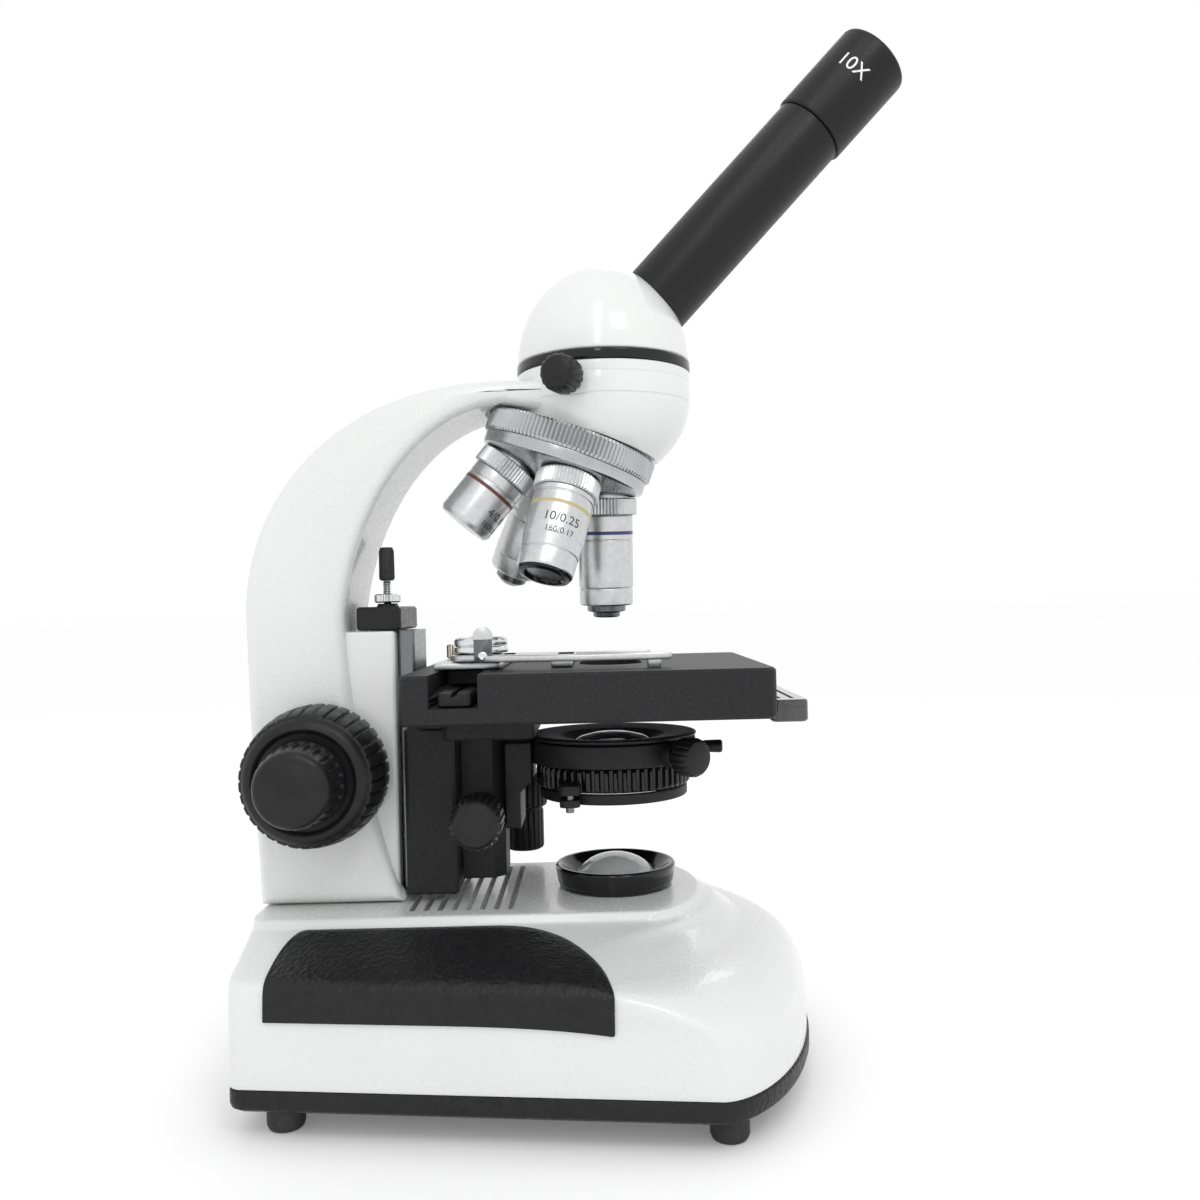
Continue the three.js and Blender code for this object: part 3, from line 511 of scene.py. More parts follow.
def filled_in(keys, between=4):
    """The key rows with smooth rows between them."""
    rows = []
    for k in range(len(keys) - 1):
        p = [keys[max(0, k - 1)], keys[k], keys[k + 1], keys[min(len(keys) - 1, k + 2)]]
        for s in range(between):
            t = s / between
            rows.append(
                [
                    0.5 * (
                        2 * b + (c - a) * t + (
                            2 * a - 5 * b + 4 * c - d
                        ) * t * t + (3 * b - a - 3 * c + d) * t**3
                    )
                    for a, b, c, d in zip(*p)
                ]
            )
    return rows + [list(keys[-1])]


def shell_shape(g=0.0, between=4):
    """The outside of the base grown by g all round."""
    rows = filled_in(LEVELS, between)
    return loft(
        [
            base_ring(z + lift * g, rh + g, h + g, turn, front - g, REAR + g)
            for z, rh, h, turn, front, lift in rows
        ]
    )


def base_pieces():
    shell = make("base_shell", [(*shell_shape(), IDENTITY)], MAT["white"], None)
    slots = []
    for i in range(8):
        outline = round_rect(-32, 32, 36 + 4.9 * i, 38 + 4.9 * i, 0.9)
        slots.append((*plate(outline, 58, 66, 0.01, 1), IDENTITY))
    holes = [
        (*turned([(0, 52), (15.8, 52), (15.8, 66), (0, 66)], 64, r=0), IDENTITY),
        (*turned([(0, 105), (6.3, 105), (6.3, 130), (0, 130)], 40, r=0), shift(32, 0, 32) @ ALONG_Y),
        (*block(-14.9, -1.1, 108, 130, 25.4, 38.6), IDENTITY),
        (*block(62.3, 90, -25.8, -2.2, 30.7, 37.3), IDENTITY),
    ]
    boolean(shell, slots + holes)
    shade(shell, 35)
    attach(shell, "frame")
    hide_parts("base_housing")

    keys = [
        (8.7, 64.5, 81.6, -30, -64.8, REAR - 3),
        (9.2, 66, 83.2, -30, -66.6, REAR - 1.6),
        (10.4, 67.5, 84.8, -30, -68.3, REAR - 0.4),
        (11.8, 67.9, 85.2, -30, -68.8, REAR),
        (14.6, 67.9, 85.2, -30, -68.8, REAR),
        (15.8, 67.8, 85.1, -30, -68.7, REAR),
        (16.3, 67.2, 84.4, -30, -68, REAR - 0.6),
    ]
    pillar = turned([(0, 12), (13, 12), (9, 20), (9, 34.5), (0, 34.5)], 48)
    make(
        "base_tray",
        [(*loft([base_ring(*row) for row in keys]), IDENTITY), (*pillar, IDENTITY)],
        MAT["grain"],
        "frame",
        ["base_plate"],
    )

    window = [(112.4, 38.2), (112.2, 50)] + bezier(
        (112.2, 50), (112.1, 55), (110.4, 58.9), (105, 59), 10,
    ) + [(42, 59)]
    window += bezier(
        (42, 59), (22, 59), (2.6, 55), (1.9, 48), 24,
    ) + [(2, 36.6)] + arc(2.8, 36.6, 0.8, 180, 265, 4)[1:]
    window += bezier((2.73, 35.8), (22, 38.2), (42, 38.2), (62, 38.2), 12)
    for side, body_side in ((-1, "left"), (1, "right")):
        pad = make("pad_" + body_side, [(*shell_shape(0.9, 3), IDENTITY)], MAT["grain"], None)
        turn = ALONG_X if side > 0 else Matrix.Scale(-1, 4, (1, 0, 0)) @ ALONG_X
        boolean(pad, [(*plate(window, 40, 92, 0.01, 1), turn)], "INTERSECT")
        boolean(pad, [(*shell_shape(0.2, 3), IDENTITY)])
        shade(pad, 40)
        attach(pad, "frame")
        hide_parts("grip_pad_" + body_side)

    foot = [(0, 0), (4.6, 0), (5.6, 0.5), (6.2, 2), (6.2, 8.5), (0, 8.5)]
    for name, x, y in (
        ("rear_left", -57, 109),
        ("rear_right", 57, 109),
        ("front_left", -72, -33),
        ("front_right", 72, -33),
    ):
        make(
            "pad_foot_" + name,
            [(*turned(foot, 48), shift(x, y, 0))],
            MAT["rubber"],
            "frame",
            ["foot_" + name],
        )


def lamp_pieces():
    collar = [
        (16, 62.3), (20.9, 62.3), (21, 63.6), (21.5, 64), (22.4, 69.7), (21.8, 70.5), (20.6, 70.5),
        (16, 65.6),
    ]
    make(
        "lamp_ring",
        [(*turned(collar, 128, closed=True, r=0.3), IDENTITY)],
        MAT["gloss"],
        "frame",
        ["lamp_collar"],
    )
    dome = [(0, 58.5), (14.6, 58.5), (15.4, 59.3), (15.4, 63)]
    dome += [(15.4 * math.cos(DEG(a)), 63 + 10.7 * math.sin(DEG(a))) for a in range(6, 90, 6)] + [(0, 73.7)]
    make(
        "lamp_lens",
        [(*turned(dome, 96, r=0.2), IDENTITY)],
        MAT["frosted"],
        "frame",
        ["field_lens"],
    )
    socket = [(3.2, -7), (6, -7), (6, 1), (7.6, 1.2), (7.6, 2.4), (3.4, 2.6), (3.2, 1.6)]
    pin = [(0, -6.5), (1.1, -6.5), (1.1, 0), (0.7, 0.5), (0, 0.5)]
    back = [(0, -7), (3.3, -7), (3.3, -6), (0, -6)]
    place = shift(32, 124.6, 32) @ ALONG_Y
    make(
        "power_jack",
        [
            (*turned(socket, 48, closed=True, r=0.2), place),
            (*turned(pin, 24), place, 1),
            (*turned(back, 24), place),
        ],
        [MAT["plastic"], MAT["bright"]],
        "frame",
        ["power_inlet"],
    )
    wheel = [(2.2, 31.4), (9.6, 31.4, 1), (10.6, 32, 0.6), (10.6, 36, 0.6), (9.6, 36.6, 1), (2.2, 36.6)]
    make("dimmer_wheel", [(*turned(wheel, 240, saw(40), closed=True, r=0), DIAL)], MAT["plastic"], "dial",
         ["dimmer_dial"])


# ---- arm and focusing block ---------------------------------------------------------------------------
def arm_pieces():
    outline = [(126.6, 62.5), (128.2, 98), (129.4, 134), (130, 168)]
    outline += bezier((130, 168), (128.5, 206), (100, 245), (42, 247.4), 40)
    outline += [(12, 247.8), (12, 234), (36, 239.5)]
    outline += bezier((36, 239.5), (66, 238), (90, 205), (94.7, 165), 32)
    outline += bezier((94.7, 165), (95, 140), (88, 96), (75.6, 62.5), 18)
    arm = make("arm_casting", [(*plate(outline, -23, 23, 4.2, 5), ALONG_X)], MAT["white"], None)
    bore = [(0, -30), (4.4, -30), (4.4, 30), (0, 30)]
    boolean(arm, [
        (*turned([(0, 33.7), (33.8, 33.7), (33.8, 70), (0, 70)], 96, r=0), TURRET),
        (*turned(bore, 32, r=0), shift(0, 103, 110) @ ALONG_X),
        (*block(-14.3, 14.3, 60, 77.3, 60, 160), IDENTITY),
    ])
    shade(arm, 30)
    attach(arm, "frame")
    guide = make(
        "arm_guide",
        [(*plate(round_rect(-19, 19, 77.3, 100, 1.5), 62.5, 159, 1, 3), IDENTITY)],
        MAT["smooth"],
        "frame",
    )

    bowl = [(0, 248.2), (32, 248.2), (32, 240.9), (31.6, 240.6), (31.6, 240.2), (31.9, 239.9)]
    bowl += [(32 * math.cos(DEG(a)), 243 - 30 * math.sin(DEG(a))) for a in range(9, 90, 3)] + [(0, 213)]
    seat = make("arm_bowl", [(*turned(bowl, 160, r=0.12), IDENTITY)], MAT["smooth"], None)
    boolean(seat, [
        (*turned([(0, 33.7), (60, 33.7), (60, 90), (0, 90)], 96, r=0), TURRET),
        (*turned([(0, 200), (11, 200), (11, 260), (0, 260)], 64, r=0), IDENTITY),
    ])
    shade(seat, 30)
    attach(seat, "frame")
    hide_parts("arm")
    thread = turned(
        [(0, 139), (1.3, 139)] + [
            (1.3 + 0.3 * (i % 2), 139.6 + 0.4 * i)
            for i in range(96)
        ] + [(1.3, 178), (0, 178)],
        24,
        r=0,
    )
    grip = [(0, 177.6), (2.3, 177.6), (2.9, 178.4, 0.15), (2.8, 188.6, 0.15), (2.2, 190), (0, 190)]
    make("stop_thread", [(*thread, STOP, 0), (*turned(grip, 120, teeth(14), r=0), STOP, 1)],
         [MAT["steel"], MAT["rubber"]], "stop", ["stop_screw"])
    nut = [(1.9, 169.3), (4.2, 169.3), (4.8, 169.8, 0.35), (4.8, 172.1, 0.35), (4.2, 172.6), (1.9, 172.6)]
    make(
        "stop_lock_nut",
        [(*turned(nut, 180, saw(30), closed=True, r=0), STOP)],
        MAT["bright"],
        "frame",
        ["stop_nut"],
    )


def focus_knobs():
    for side, name in ((-1, "left"), (1, "right")):
        place = knob_frame(side)
        rim = [
            (4.4, 24.4), (21.8, 24.4), (23, 24.8), (24, 25.6, 0.9), (24.3, 26.6, 1.1),
            (24.3, 34.6, 1.1), (24.1, 35.6, 1), (23.7, 40, 1), (22.6, 46.4, 0.9), (22.2, 47, 0.3),
            (21.4, 47.4), (20.6, 48.6), (19.4, 49.5), (17.8, 49.9), (17.2, 49.6), (16.4, 48.4),
            (15.6, 48.2), (2.6, 48.2), (2.6, 28), (4.4, 28),
        ]
        make(
            "coarse_wheel_" + name,
            [(*turned(rim, 384, teeth(34, 0.72, 0.06), closed=True, r=0), place)],
            MAT["plastic"],
            "coarse",
            ["coarse_knob_" + name],
            28,
        )
        cap = [
            (0, 50.6), (13.8, 50.6), (14.2, 51), (14.2, 53), (13.7, 54, 0.5), (13.6, 60, 0.6),
            (13.2, 62.4, 0.3), (12.7, 63.6),
        ]
        cap += [(9.6 + 3.1 * math.cos(DEG(a)), 63.8 + 2.9 * math.sin(DEG(a))) for a in (12, 30, 48, 66, 82)]
        cap += [(8.6, 66.9), (7, 67.5), (4, 68.2), (0, 68.5)]
        axle = turned([(0, 47 if side > 0 else -46), (2, 47 if side > 0 else -46), (2, 51), (0, 51)], 24)
        make("fine_wheel_" + name, [(*turned(cap, 256, teeth(24, 0.6, 0.12), r=0), place), (*axle, place, 1)],
             [MAT["plastic"], MAT["steel"]], "fine", ["fine_knob_" + name], 28)


# ---- stage --------------------------------------------------------------------------------------------
def screw_head(x, y, z, r=1.6):
    """A small domed screw head."""
    dome = [(0, -0.6), (r, -0.6), (r, 0.3), (0.8 * r, 0.75), (0, 0.9)]
    return (*turned(dome, 24, r=0.15), shift(x, y, z))


def holder_pieces():
    z = 145.3
    base = round_rect(-32, 46.5, 38, 62, 3)
    grip = round_rect(38.5, 46.5, -17, 50, 3)
    fence = round_rect(-30, 40.5, 13.5, 21, 1)
    leg = round_rect(20, 40.5, 14, 45, 1)
    shapes = [(*plate(o, z, z + 2.2, 0.35, 2), IDENTITY) for o in (base, grip, fence, leg)]
    disc = [
        (0, z + 1), (3, z + 1), (3, 150.6), (9.3, 150.6), (9.7, 151), (9.7, 152.6), (9.3, 152.9),
        (9.1, 153.1), (9.5, 153.4), (9.6, 155), (9, 155.9), (8, 156.2), (5, 156.2), (4.8, 155.8),
        (0, 155.8),
    ]
    shapes.append((*turned(disc, 96, r=0.12), shift(-20, 46.2, 0), 1))
    shapes.append((*screw_head(-20, 46.2, 156, 1.9), 1))
    for x, y in ((14, 44), (30, 56), (-6, 57)):
        shapes.append((*screw_head(x, y, z + 2.6), 1))
    make(
        "holder_plate", shapes, [MAT["satin"], MAT["bright"]], "carriage", ["slide_holder"],
    )

    low = 147.9
    arm = [
        (-12, 56), (-28, 56), (-34, 52.5), (-37.5, 46), (-43, 32), (-46.5, 8), (-46.5, -17),
        (-45.5, -19.6), (-43, -20.4), (-38.5, -20.4), (-38.5, 4), (-35, 30), (-29, 37.5), (-24, 39),
        (-12, 39), (-11, 47),
    ]
    hub = [(3.4, low), (9, low), (9, low + 2.2), (3.4, low + 2.2)]
    claw = round_rect(-45.5, -38.5, -16.8, -12, 1)
    tab = round_rect(40.7, 46.9, 148.3, 156.6, 0.3)
    cap = [(47.1, 155.6), (47.1, 156.6)] + arc(43.8, 156.6, 3.3, 0, 180, 14)[1:] + [(40.5, 155.6)]
    screw = [(0, 0), (1.8, 0), (1.5, 0.7), (0, 0.9)]
    make("clip_arm", [
        (*plate(arm, low, low + 2.2, 0.35, 2), IDENTITY),
        (*turned(hub, 64, closed=True, r=0.2), FINGER_PIVOT),
        (*plate(claw, z + 0.1, low + 1, 0.3, 2), IDENTITY),
        # The tab takes the darker satin copy: painted shade.
        (*plate(tab, -38, -35.6, 0.3, 2), ALONG_X, 1),
        (*plate(cap, -38.3, -35.3, 0.3, 2), ALONG_X),
        (*turned(screw, 24), shift(-38, 43.8, 150) @ ALONG_MINUS_X, 2),
    ], [MAT["satin"], MAT["painted_shade_satin"], MAT["bright"]], "finger", ["clip_finger"])
    knob = [
        (0, 142), (1.4, 142), (1.4, 147.8), (2.6, 147.8), (3.2, 148.3, 0.3), (3.2, 152.5, 0.3),
        (2.7, 153), (0, 153),
    ]
    make(
        "holder_thumb_screw",
        [(*turned(knob, 120, saw(20), r=0), shift(2, 58.3, 0))],
        MAT["nickel"],
        "carriage",
        ["holder_screw"],
    )


def control_knobs():
    place = STALK
    y_grip = [
        (1.9, 84), (8.7, 84), (9.2, 84.4), (9.6, 85, 0.8), (9.6, 97.4, 0.8), (9.2, 98.1), (8.6, 98.5),
        (3.6, 98.5), (3.6, 137.5), (1.9, 137.5),
    ]
    make(
        "stage_wheel_y",
        [(*turned(y_grip, 240, teeth(24, 0.5, 0.15), closed=True, r=0), place)],
        MAT["plastic"],
        "y_control",
        ["y_knob"],
    )
    x_grip = [(0, 66.3), (6.6, 66.3), (7.6, 66.9), (8, 67.6, 0.7), (8, 82.2, 0.7), (7.5, 83.2), (0, 83.4)]
    stem = [(0, 83), (1.5, 83), (1.5, 137.8), (0, 137.8)]
    make(
        "stage_wheel_x",
        [(*turned(x_grip, 220, teeth(20, 0.5, 0.15), r=0), place), (*turned(stem, 24), place, 1)],
        [MAT["plastic"], MAT["steel"]],
        "x_control",
        ["x_knob"],
    )
    place = shift(0, 47, 94) @ ALONG_MINUS_X
    wheel = [
        (0, 31.8), (7.6, 31.8), (8.4, 32.4, 0.4), (9, 33.4, 0.7), (9, 45, 0.7), (8.5, 46.4, 0.4),
        (7.9, 47.2), (7, 47.9), (5.5, 48), (0, 48),
    ]
    shaft = [(0, -11), (2.9, -11), (2.9, 32.5), (0, 32.5)]
    collar = [(0, 12.4), (5.2, 12.4), (5.2, 15), (0, 15)]
    make(
        "condenser_wheel",
        [
            (*turned(wheel, 264, teeth(24, 0.58, 0.12), r=0), place),
            (*turned(shaft, 32), place, 1),
            (*turned(collar, 40), place),
        ],
        [MAT["plastic"], MAT["steel"]],
        "condenser_drive",
        ["condenser_knob"],
    )


# ---- condenser -----------------------------------------------------------------------------------------
def condenser_pieces():
    ring = [(27, 109), (30.6, 109), (31, 109.4), (31, 116.8), (30.6, 117.2), (27, 117.2)]
    holder = make("condenser_ring", [(*turned(ring, 144, closed=True, r=0.2), IDENTITY)], MAT["paint"], None)
    wedge = [(0, 0), (-22, -40), (22, -40)]
    boolean(holder, [(*plate(wedge, 111.4, 115.2, 0.01, 1), IDENTITY)])
    shade(holder, 30)
    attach(holder, "condenser")
    profile = [(29.6, 103), (34, 99), (34, 86), (39.5, 86), (39.5, 117.2), (29.6, 117.2)]
    boss = [(0, 28), (4.2, 28), (4.2, 34), (3.8, 34.5), (0, 34.5)]
    make(
        "condenser_bracket",
        [(*plate(profile, -13, 13, 0.8, 3), ALONG_X), (*turned(boss, 48), radial(50, 112.8))],
        MAT["paint"],
        "condenser",
        ["condenser_holder"],
    )
    top = [
        (15, 115.6), (20, 118.2), (29.5, 119.2), (31, 119), (31.4, 118.6), (31, 117.7), (26.5, 117.5),
        (26.5, 108.7), (25, 108.7), (25, 101.2), (24.5, 100.3), (20, 100.3), (20, 108),
    ]
    ribs = [
        (24.6, 100.2), (27.2, 100.2), (28, 100.6, 0.6), (28.6, 101.4, 1.4), (28.6, 107.4, 1.4),
        (28, 108.2, 0.6), (27.2, 108.6), (24.6, 108.6),
    ]
    lug = round_rect(-30.6, -20, 11.6, 19.4, 2.4)
    make("condenser_cell", [
        (*turned(top, 144, closed=True, r=0.25), IDENTITY, 1),
        (*turned(ribs, 432, teeth(54, 0.34, 0.14), closed=True, r=0), IDENTITY),
        (*plate(lug, 100.2, 103.6, 0.4, 2), IDENTITY, 1),
    ], [MAT["gloss"], MAT["paint"]], "condenser", ["condenser_body"])
    # The condenser glass is painted near black: painted shade from under the stage.
    glass = [(0, 108), (10, 108.4), (14.6, 109.5), (14.6, 116), (12, 117.6), (6, 118.9), (0, 119.3)]
    make(
        "condenser_glass",
        [(*turned(glass, 96, r=1.2), IDENTITY)],
        MAT["lens_painted_shade"],
        "condenser",
        ["condenser_lens"],
    )
    place = radial(8, 113.3)
    rod = [(0, 27.4), (1, 27.4), (1, 38), (0, 38)]
    cap = [(0, 33.4), (1.5, 33.4), (2.2, 34, 0.1), (2.4, 39.6, 0.1), (2.3, 40.6), (1.7, 41), (0, 41)]
    make(
        "iris_handle",
        [(*turned(rod, 24), place, 1), (*turned(cap, 48, r=0.2), place)],
        [MAT["plastic"], MAT["bright"]],
        "iris",
        ["iris_lever"],
    )
    place = radial(50, 113)
    stem = [(0, 27.6), (1.9, 27.6), (1.9, 38), (0, 38)]
    grip = [
        (0, 36.3), (3.2, 36.3), (3.6, 37), (5.8, 37.4), (6.5, 38, 0.4), (6.8, 38.8, 0.5),
        (6.8, 43.6, 0.5), (6.3, 44.8, 0.3), (5.6, 45.6), (4.2, 46), (0, 46),
    ]
    make(
        "condenser_thumb_screw",
        [(*turned(grip, 240, teeth(18, 0.55, 0.16), r=0), place), (*turned(stem, 24), place, 1)],
        [MAT["plastic"], MAT["steel"]],
        "condenser_lock",
        ["condenser_clamp_screw"],
    )
    dish = [
        (16, 96), (27, 96), (27.5, 96.5), (27.5, 99.5), (27.1, 99.9), (25.9, 99.9), (25.5, 99.5),
        (25.5, 97), (16, 97),
    ]
    ear = round_rect(-30.6, -21, 12, 19.2, 2.4)
    pin = [(0, 94), (1.5, 94), (1.5, 103), (0, 103)]
    make(
        "filter_dish",
        [
            (*turned(dish, 144, closed=True, r=0.15), IDENTITY),
            (*plate(ear, 96, 98.6, 0.3, 2), IDENTITY),
            (*turned(pin, 24), TRAY_PIVOT, 1),
        ],
        [MAT["paint"], MAT["dark_steel"]],
        "tray",
        ["filter_tray"],
    )


# ---- nosepiece ------------------------------------------------------------------------------------------
def station(index):
    """The axis of one objective. The turret stands a little short of its click stop."""
    return TURRET @ turn_about("Z", 360 / STATIONS * index - SHORT_OF_CLICK) @ turn_about("X", -20)


def nosepiece_pieces():
    seat = [(11, 34), (28.6, 34), (29, 34.4), (29, 36.9), (28.6, 37.2), (11, 37.2)]
    stud = [
        (0, 36), (4, 36), (4, 58.9), (6.2, 58.9), (6.4, 59.2), (6.4, 60.1), (4.8, 61.4), (2.2, 61.7),
        (0, 61.7),
    ]
    make(
        "turret_seat",
        [(*turned(seat, 144, closed=True, r=0.2), TURRET), (*turned(stud, 48, r=0.2), TURRET)],
        MAT["bright"],
        "frame",
        ["nosepiece_mount"],
    )
    cup = [
        (4.4, 37.6), (30, 37.6), (30.6, 38), (30.6, 42.6), (31.2, 43), (31.2, 46.8), (30.6, 47.5),
        (9, 55.5), (8, 56), (7.6, 58.5), (4.4, 58.5),
    ]
    rim = [(29.4, 34.6), (31.3, 34.6), (32.3, 35.4, 0.8), (32.3, 41.8, 0.8), (31.4, 42.8), (29.4, 42.8)]
    cone = make("turret_cone", [(*turned(cup, 160, closed=True, r=0.5), TURRET)], MAT["chrome"], None)
    bore = turned([(0, 46), (9.9, 46), (9.9, 75), (0, 75)], 48, r=0)
    boolean(cone, [(*bore, station(i)) for i in range(STATIONS)])
    shade(cone, 30)
    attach(cone, "turret")
    make(
        "turret_rim",
        [(*turned(rim, 720, saw(120), closed=True, r=0), TURRET)],
        MAT["chrome"],
        "turret",
        ["nosepiece_turret"],
        20,
    )


OBJECTIVES = {
    "objective_40x": (
        0,
        "blue",
        ("40/0.65", "160/0.17"),
        20,
        [
            (10.3, 6.9), (10.3, 15.4), (10, 15.6), (10, 15.9), (10.3, 16.1), (10.3, 33.4), (9.9, 33.6),
            (9.9, 34), (10.1, 34.2), (10.1, 39.8), (9.7, 40.3),
        ],
        [
            (9.7, 40.3), (7.3, 40.4), (7.3, 42.5), (7, 42.8), (5.4, 42.8), (5.2, 43.2), (5.1, 44.6),
            (4.6, 45), (3, 45), (2.2, 44.2), (0, 44.1),
        ],
    ),
    "objective_10x": (
        1,
        "yellow",
        ("10/0.25", "160/0.17"),
        95,
        [
            (11, 6.9), (11, 8.6), (10.6, 8.8), (10.6, 9.2), (11, 9.4), (11, 24.8), (10.7, 25.4),
            (10.4, 29.8), (10.1, 30), (10.1, 30.4), (10.3, 30.6), (10, 36.4), (9.7, 37),
        ],
        [(9.7, 37), (9.2, 37.8), (7.2, 38.2), (6.2, 37), (5.6, 36.2), (0, 36.1)],
    ),
    "objective_4x": (
        2,
        "red",
        ("4/0.10", "160/0.17"),
        -50,
        [
            (10.5, 6.9), (10.5, 10.6), (10.2, 10.8), (10.2, 11.1), (10.5, 11.3), (10.5, 27),
            (9.6, 28.6), (7.8, 28.8),
        ],
        [(7.8, 28.8), (6.6, 28.2), (6, 26.4), (0, 26.2)],
    ),
    "objective_100x": (
        3,
        "cream",
        ("100/1.25", "160/0.17"),
        150,
        [
            (10.3, 6.9), (10.3, 15.4), (10, 15.6), (10, 15.9), (10.3, 16.1), (10.3, 31.2), (9.9, 31.5),
            (9.9, 31.9), (10.2, 32.2), (9.8, 38.2), (9.2, 39),
        ],
        [
            (9.2, 39), (6.4, 39.6), (6.2, 42.4), (5.2, 43.2), (3.7, 44.4), (1.6, 44.4), (1.2, 44.1),
            (0, 44),
        ],
    ),
}


def words_on(place, text, size, r, height, angle, rise):
    """Lettering wrapped on a cylinder. rise is +1 when the text's top points along +Z, else -1."""
    curve = bpy.data.curves.new("text", "FONT")
    curve.body, curve.size, curve.align_x, curve.align_y, curve.extrude = text, size, "CENTER", "CENTER", 0.05
    holder = bpy.data.objects.new("text", curve)
    bpy.context.collection.objects.link(holder)
    mesh = bpy.data.meshes.new_from_object(holder.evaluated_get(bpy.context.evaluated_depsgraph_get()))
    verts = []
    for v in mesh.vertices:
        a = DEG(angle) + rise * v.co.x / r
        radius = r + 0.03 + v.co.z * 0.8
        verts.append((radius * math.cos(a), radius * math.sin(a), height + rise * v.co.y))
    faces = [list(p.vertices) for p in mesh.polygons]
    bpy.data.objects.remove(holder)
    return verts, faces, place


def objective_pieces():
    for name, (index, band, words, near, profile, nose) in OBJECTIVES.items():
        place = station(index)
        start = 55.3
        neck = [
            (0, start - 5), (9.4, start - 5), (9.4, start), (11.2, start), (11.9, start + 0.5, 0.5),
            (11.9, start + 6, 0.5), (11.2, start + 6.5), (10.2, start + 6.6), (0, start + 6.6),
        ]
        r0 = profile[0][0]
        body = [
            (0, start + 6.6),
            (r0 - 0.3, start + 6.6),
        ] + [(r, start + z) for r, z in profile] + [(0, start + profile[-1][1])]
        ring_z = start + (12.4 if index != 1 else 12.8)
        ring = [(r0 - 0.2, ring_z), (r0 + 0.05, ring_z), (r0 + 0.05, ring_z + 1.3), (r0 - 0.2, ring_z + 1.3)]
        end = [(r, start + z) for r, z in nose]
        shapes = [
            (*turned(neck, 360, saw(60), r=0), place, 1),
            (*turned(body, 128, r=0.15), place, 0),
            (*turned(ring, 128, closed=True, r=0), place, 2),
            (*turned(end, 96, r=0.1), place, 4),
            (*words_on(place, words[0], 4.6, r0, start + 19.6, near, -1), 3),
            (*words_on(place, words[1], 3.1, r0, start + 24.2, near, -1), 3),
        ]
        mats = [
            MAT["satin"],
            MAT["satin"],
            MAT[band],
            MAT["ink"],
            MAT["dark_steel"] if index != 1 else MAT["gloss"],
        ]
        make(name + "_barrel", shapes, mats, "turret", [name], 26)


# ---- head -----------------------------------------------------------------------------------------------
def head_pieces():
    band = [(12, 248.2), (32, 248.2), (32, 251.7), (31.7, 252), (12, 252)]
    make(
        "head_collar",
        [(*turned(band, 160, closed=True, r=0.1), IDENTITY)],
        MAT["smooth"],
        "frame",
        ["head_band"],
    )
    ring = [(12, 252.2), (31.7, 252.2), (32.3, 252.7), (32.3, 255.5), (31.8, 256), (12, 256)]
    make(
        "head_black_ring",
        [(*turned(ring, 160, closed=True, r=0.3), IDENTITY)],
        MAT["gloss"],
        "frame",
        ["head_ring"],
    )
    dome = [(10, 256.1), (31.4, 256.1), (31.8, 256.6)]
    dome += [(31.8 * math.cos(DEG(a)), 256.1 + 36 * math.sin(DEG(a))) for a in range(3, 90, 3)] + [(0, 292.1)]
    shell = make(
        "head_shell",
        [(*turned([(0, 256.1)] + dome[1:], 160, r=0.2), IDENTITY)],
        MAT["smooth"],
        None,
    )
    boolean(shell, [(*turned([(0, 4), (13.95, 4), (13.95, 60), (0, 60)], 96, r=0), TUBE)])
    shade(shell, 30)
    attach(shell, "head")
    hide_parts("head_dome")
    tube = [(12, -9), (13.65, -9), (13.65, 84.7), (12, 84.7)]
    make(
        "view_tube",
        [(*turned(tube, 144, closed=True, r=0.2), TUBE)],
        MAT["tube"],
        "head",
        ["eyepiece_tube"],
    )
    ocular = [
        (9, 62), (11.6, 62), (11.6, 85), (14, 85), (14.5, 85.5), (14.5, 119.9), (14.2, 120.8),
        (13.4, 121.4), (12, 121.4), (11.2, 121.1), (10.2, 119.5), (10.2, 113), (9, 113),
    ]
    text = words_on(TUBE, "10X", 7.4, 14.5, 107.5, 172, 1)
    make(
        "ocular_barrel",
        [(*turned(ocular, 144, closed=True, r=0.25), TUBE), (*text, 1)],
        [MAT["tube"], MAT["pale"]],
        "ocular",
        ["eyepiece"],
    )
    glass = [(0, 113.3), (9.9, 113.3), (9.9, 116.4), (7.6, 117.6), (4, 118.5), (0, 118.8)]
    make(
        "ocular_glass",
        [(*turned(glass, 72, r=0.8), TUBE)],
        MAT["lens"],
        "ocular",
        ["eye_lens"],
    )
    stem = [(0, 24), (1.9, 24), (1.9, 37), (0, 37)]
    neck = [(0, 32.6), (3.6, 32.6), (3.6, 35.6), (3.2, 36.4), (0, 36.4)]
    grip = [
        (0, 36), (4.8, 36), (5.9, 36.5), (6.5, 37.2, 0.5), (6.6, 38, 0.6), (6.6, 44.2, 0.6),
        (6.1, 45.6, 0.3), (5.5, 46.5), (4.4, 47.2), (0, 47.4),
    ]
    make(
        "head_thumb_screw",
        [
            (*turned(grip, 256, teeth(16, 0.5, 0.2), r=0), CLAMP),
            (*turned(neck, 40), CLAMP),
            (*turned(stem, 24), CLAMP, 1),
        ],
        [MAT["plastic"], MAT["bright"]],
        "head_lock",
        ["head_clamp_screw"],
    )


# ---- CAD nodes that keep their shape ----------------------------------------------------------------------
KEPT = {
    "paint": ["focus_slide", "stage_bracket", "stage_top", "x_rail", "x_carriage", "condenser_rail"],
    "plastic": ["power_switch", "stop_bar"],
    "steel": ["coarse_pinion", "focus_rack"],
    "dark_steel": ["guide_rail"],
    "guard": ["stage_guard"],
    "board": ["led_board"],
    "led": ["led_emitter"],
    "lens": ["head_prism"],
}


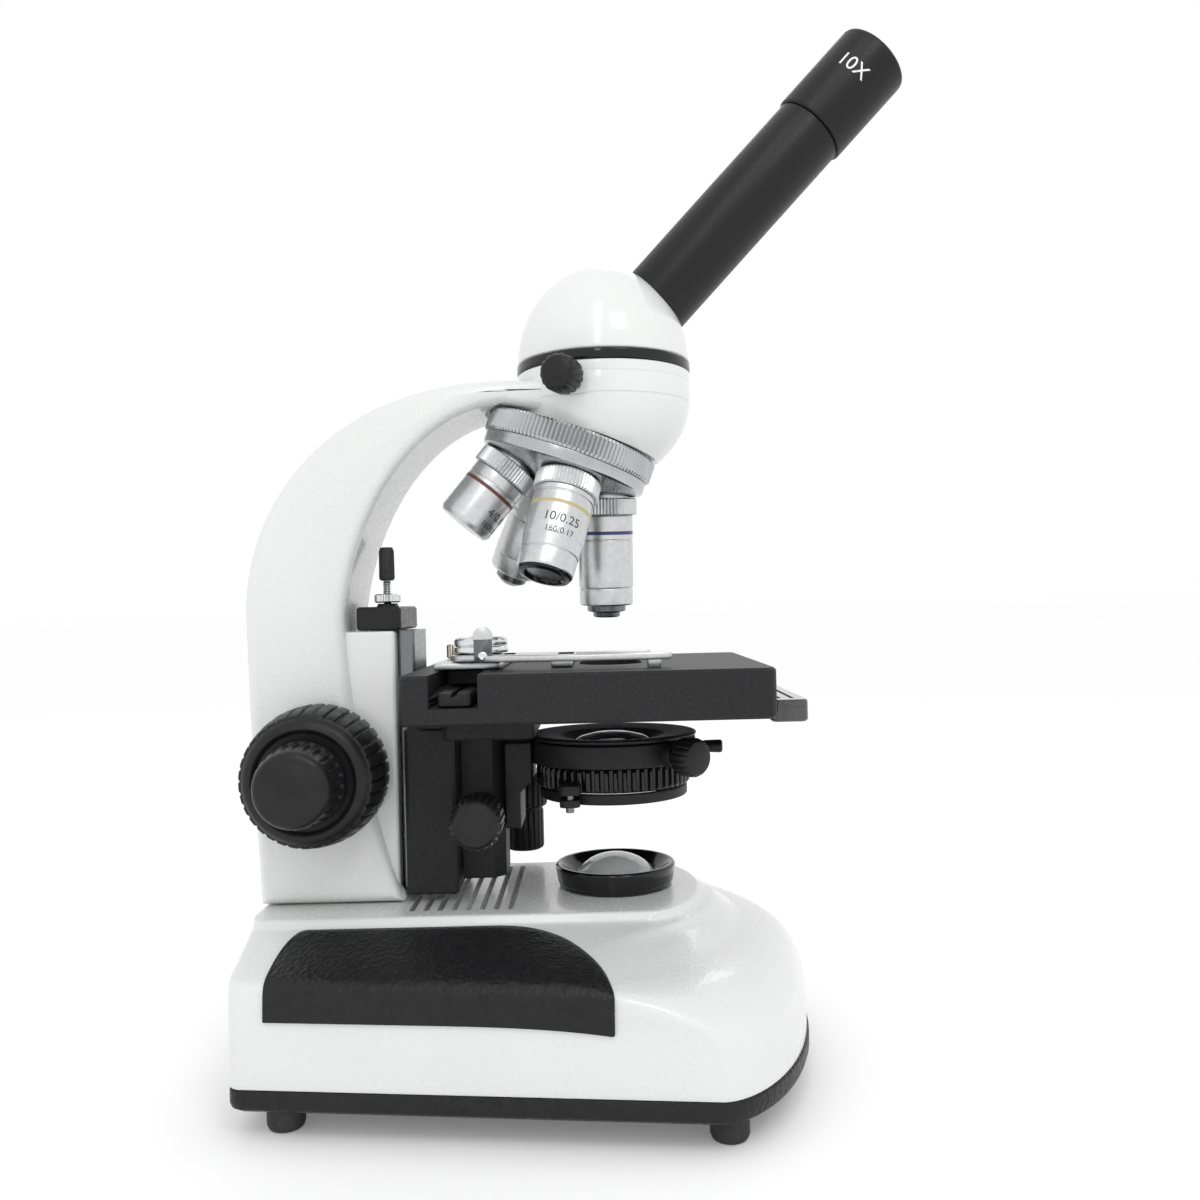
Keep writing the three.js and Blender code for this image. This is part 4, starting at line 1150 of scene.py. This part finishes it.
def dress_kept_nodes():
    for finish, names in KEPT.items():
        for name in names:
            mesh = NODES[name].data
            mesh.materials.clear()
            mesh.materials.append(MAT[finish])
            edges = NODES[name].modifiers.new("edges", "BEVEL")
            edges.width = 0.0005
            edges.segments = 2
            edges.limit_method = "ANGLE"
            edges.angle_limit = DEG(35)


# ---- stage set -------------------------------------------------------------------------------------
CAMERA_LENS = 33.6
CAMERA_SENSOR = 36.0
CAMERA_RISE = 1 / 240
CAMERA_ROLL = 1.4
CAMERA_AWAY = 0.420
CAMERA_BACK = 0.0034
CAMERA_HEIGHT = 0.1665


def set_camera():
    """A level view from the left of the object, rolled a little."""
    data = bpy.data.cameras.new("camera")
    data.lens = CAMERA_LENS
    data.sensor_width = CAMERA_SENSOR
    data.shift_y = CAMERA_RISE
    data.clip_start = 0.01
    cam = bpy.data.objects.new("camera", data)
    roll = DEG(CAMERA_ROLL)
    right = Vector((0, -1, 0)) * math.cos(roll) - Vector((0, 0, 1)) * math.sin(roll)
    up = Vector((0, -1, 0)) * math.sin(roll) + Vector((0, 0, 1)) * math.cos(roll)
    place = Matrix.Translation((AXIS_X - CAMERA_AWAY, AXIS_Y + CAMERA_BACK, CAMERA_HEIGHT))
    cam.matrix_world = place @ basis(right, up, Vector((-1, 0, 0)))
    bpy.context.collection.objects.link(cam)
    bpy.context.scene.camera = cam


def area_light(name, where, target, size, energy):
    data = bpy.data.lights.new(name, "AREA")
    data.shape = "RECTANGLE"
    data.size, data.size_y = size
    data.energy = energy
    light = bpy.data.objects.new(name, data)
    light.location = where
    light.rotation_euler = (Vector(target) - Vector(where)).to_track_quat("-Z", "Y").to_euler()
    bpy.context.collection.objects.link(light)


FLOOR_HALF = 40


def set_stage():
    """A wide pale floor, an even white surround and three soft lamps."""
    floor = bpy.data.meshes.new("floor")
    corners = [(x * FLOOR_HALF, y * FLOOR_HALF, 0) for x, y in ((-1, -1), (1, -1), (1, 1), (-1, 1))]
    floor.from_pydata(corners, [], [(0, 1, 2, 3)])
    ground = bpy.data.objects.new("floor", floor)
    bpy.context.collection.objects.link(ground)
    pale = Finish("pale_floor", (0.84, 0.84, 0.84), 0.9, Emission_Color=(1, 1, 1, 1), Emission_Strength=0.13)
    floor.materials.append(pale.mat)
    world = bpy.data.worlds.new("studio")
    world.use_nodes = True
    background = world.node_tree.nodes["Background"]
    background.inputs["Color"].default_value = (1, 1, 1, 1)
    background.inputs["Strength"].default_value = 1.0
    bpy.context.scene.world = world
    area_light("key", (-0.75, -0.35, 0.95), (0, 0, 0.15), (0.3, 0.3), 1.6)
    area_light("strip", (-0.8, 0.1, 0.9), (0, 0, 0.15), (0.12, 0.9), 1.4)
    area_light("rim", (0.8, -0.3, 0.9), (0, 0, 0.2), (0.6, 0.3), 1.2)
    bpy.context.scene.view_settings.view_transform = "Standard"


base_pieces()
lamp_pieces()
arm_pieces()
focus_knobs()
holder_pieces()
control_knobs()
condenser_pieces()
nosepiece_pieces()
objective_pieces()
head_pieces()
dress_kept_nodes()
set_camera()
set_stage()
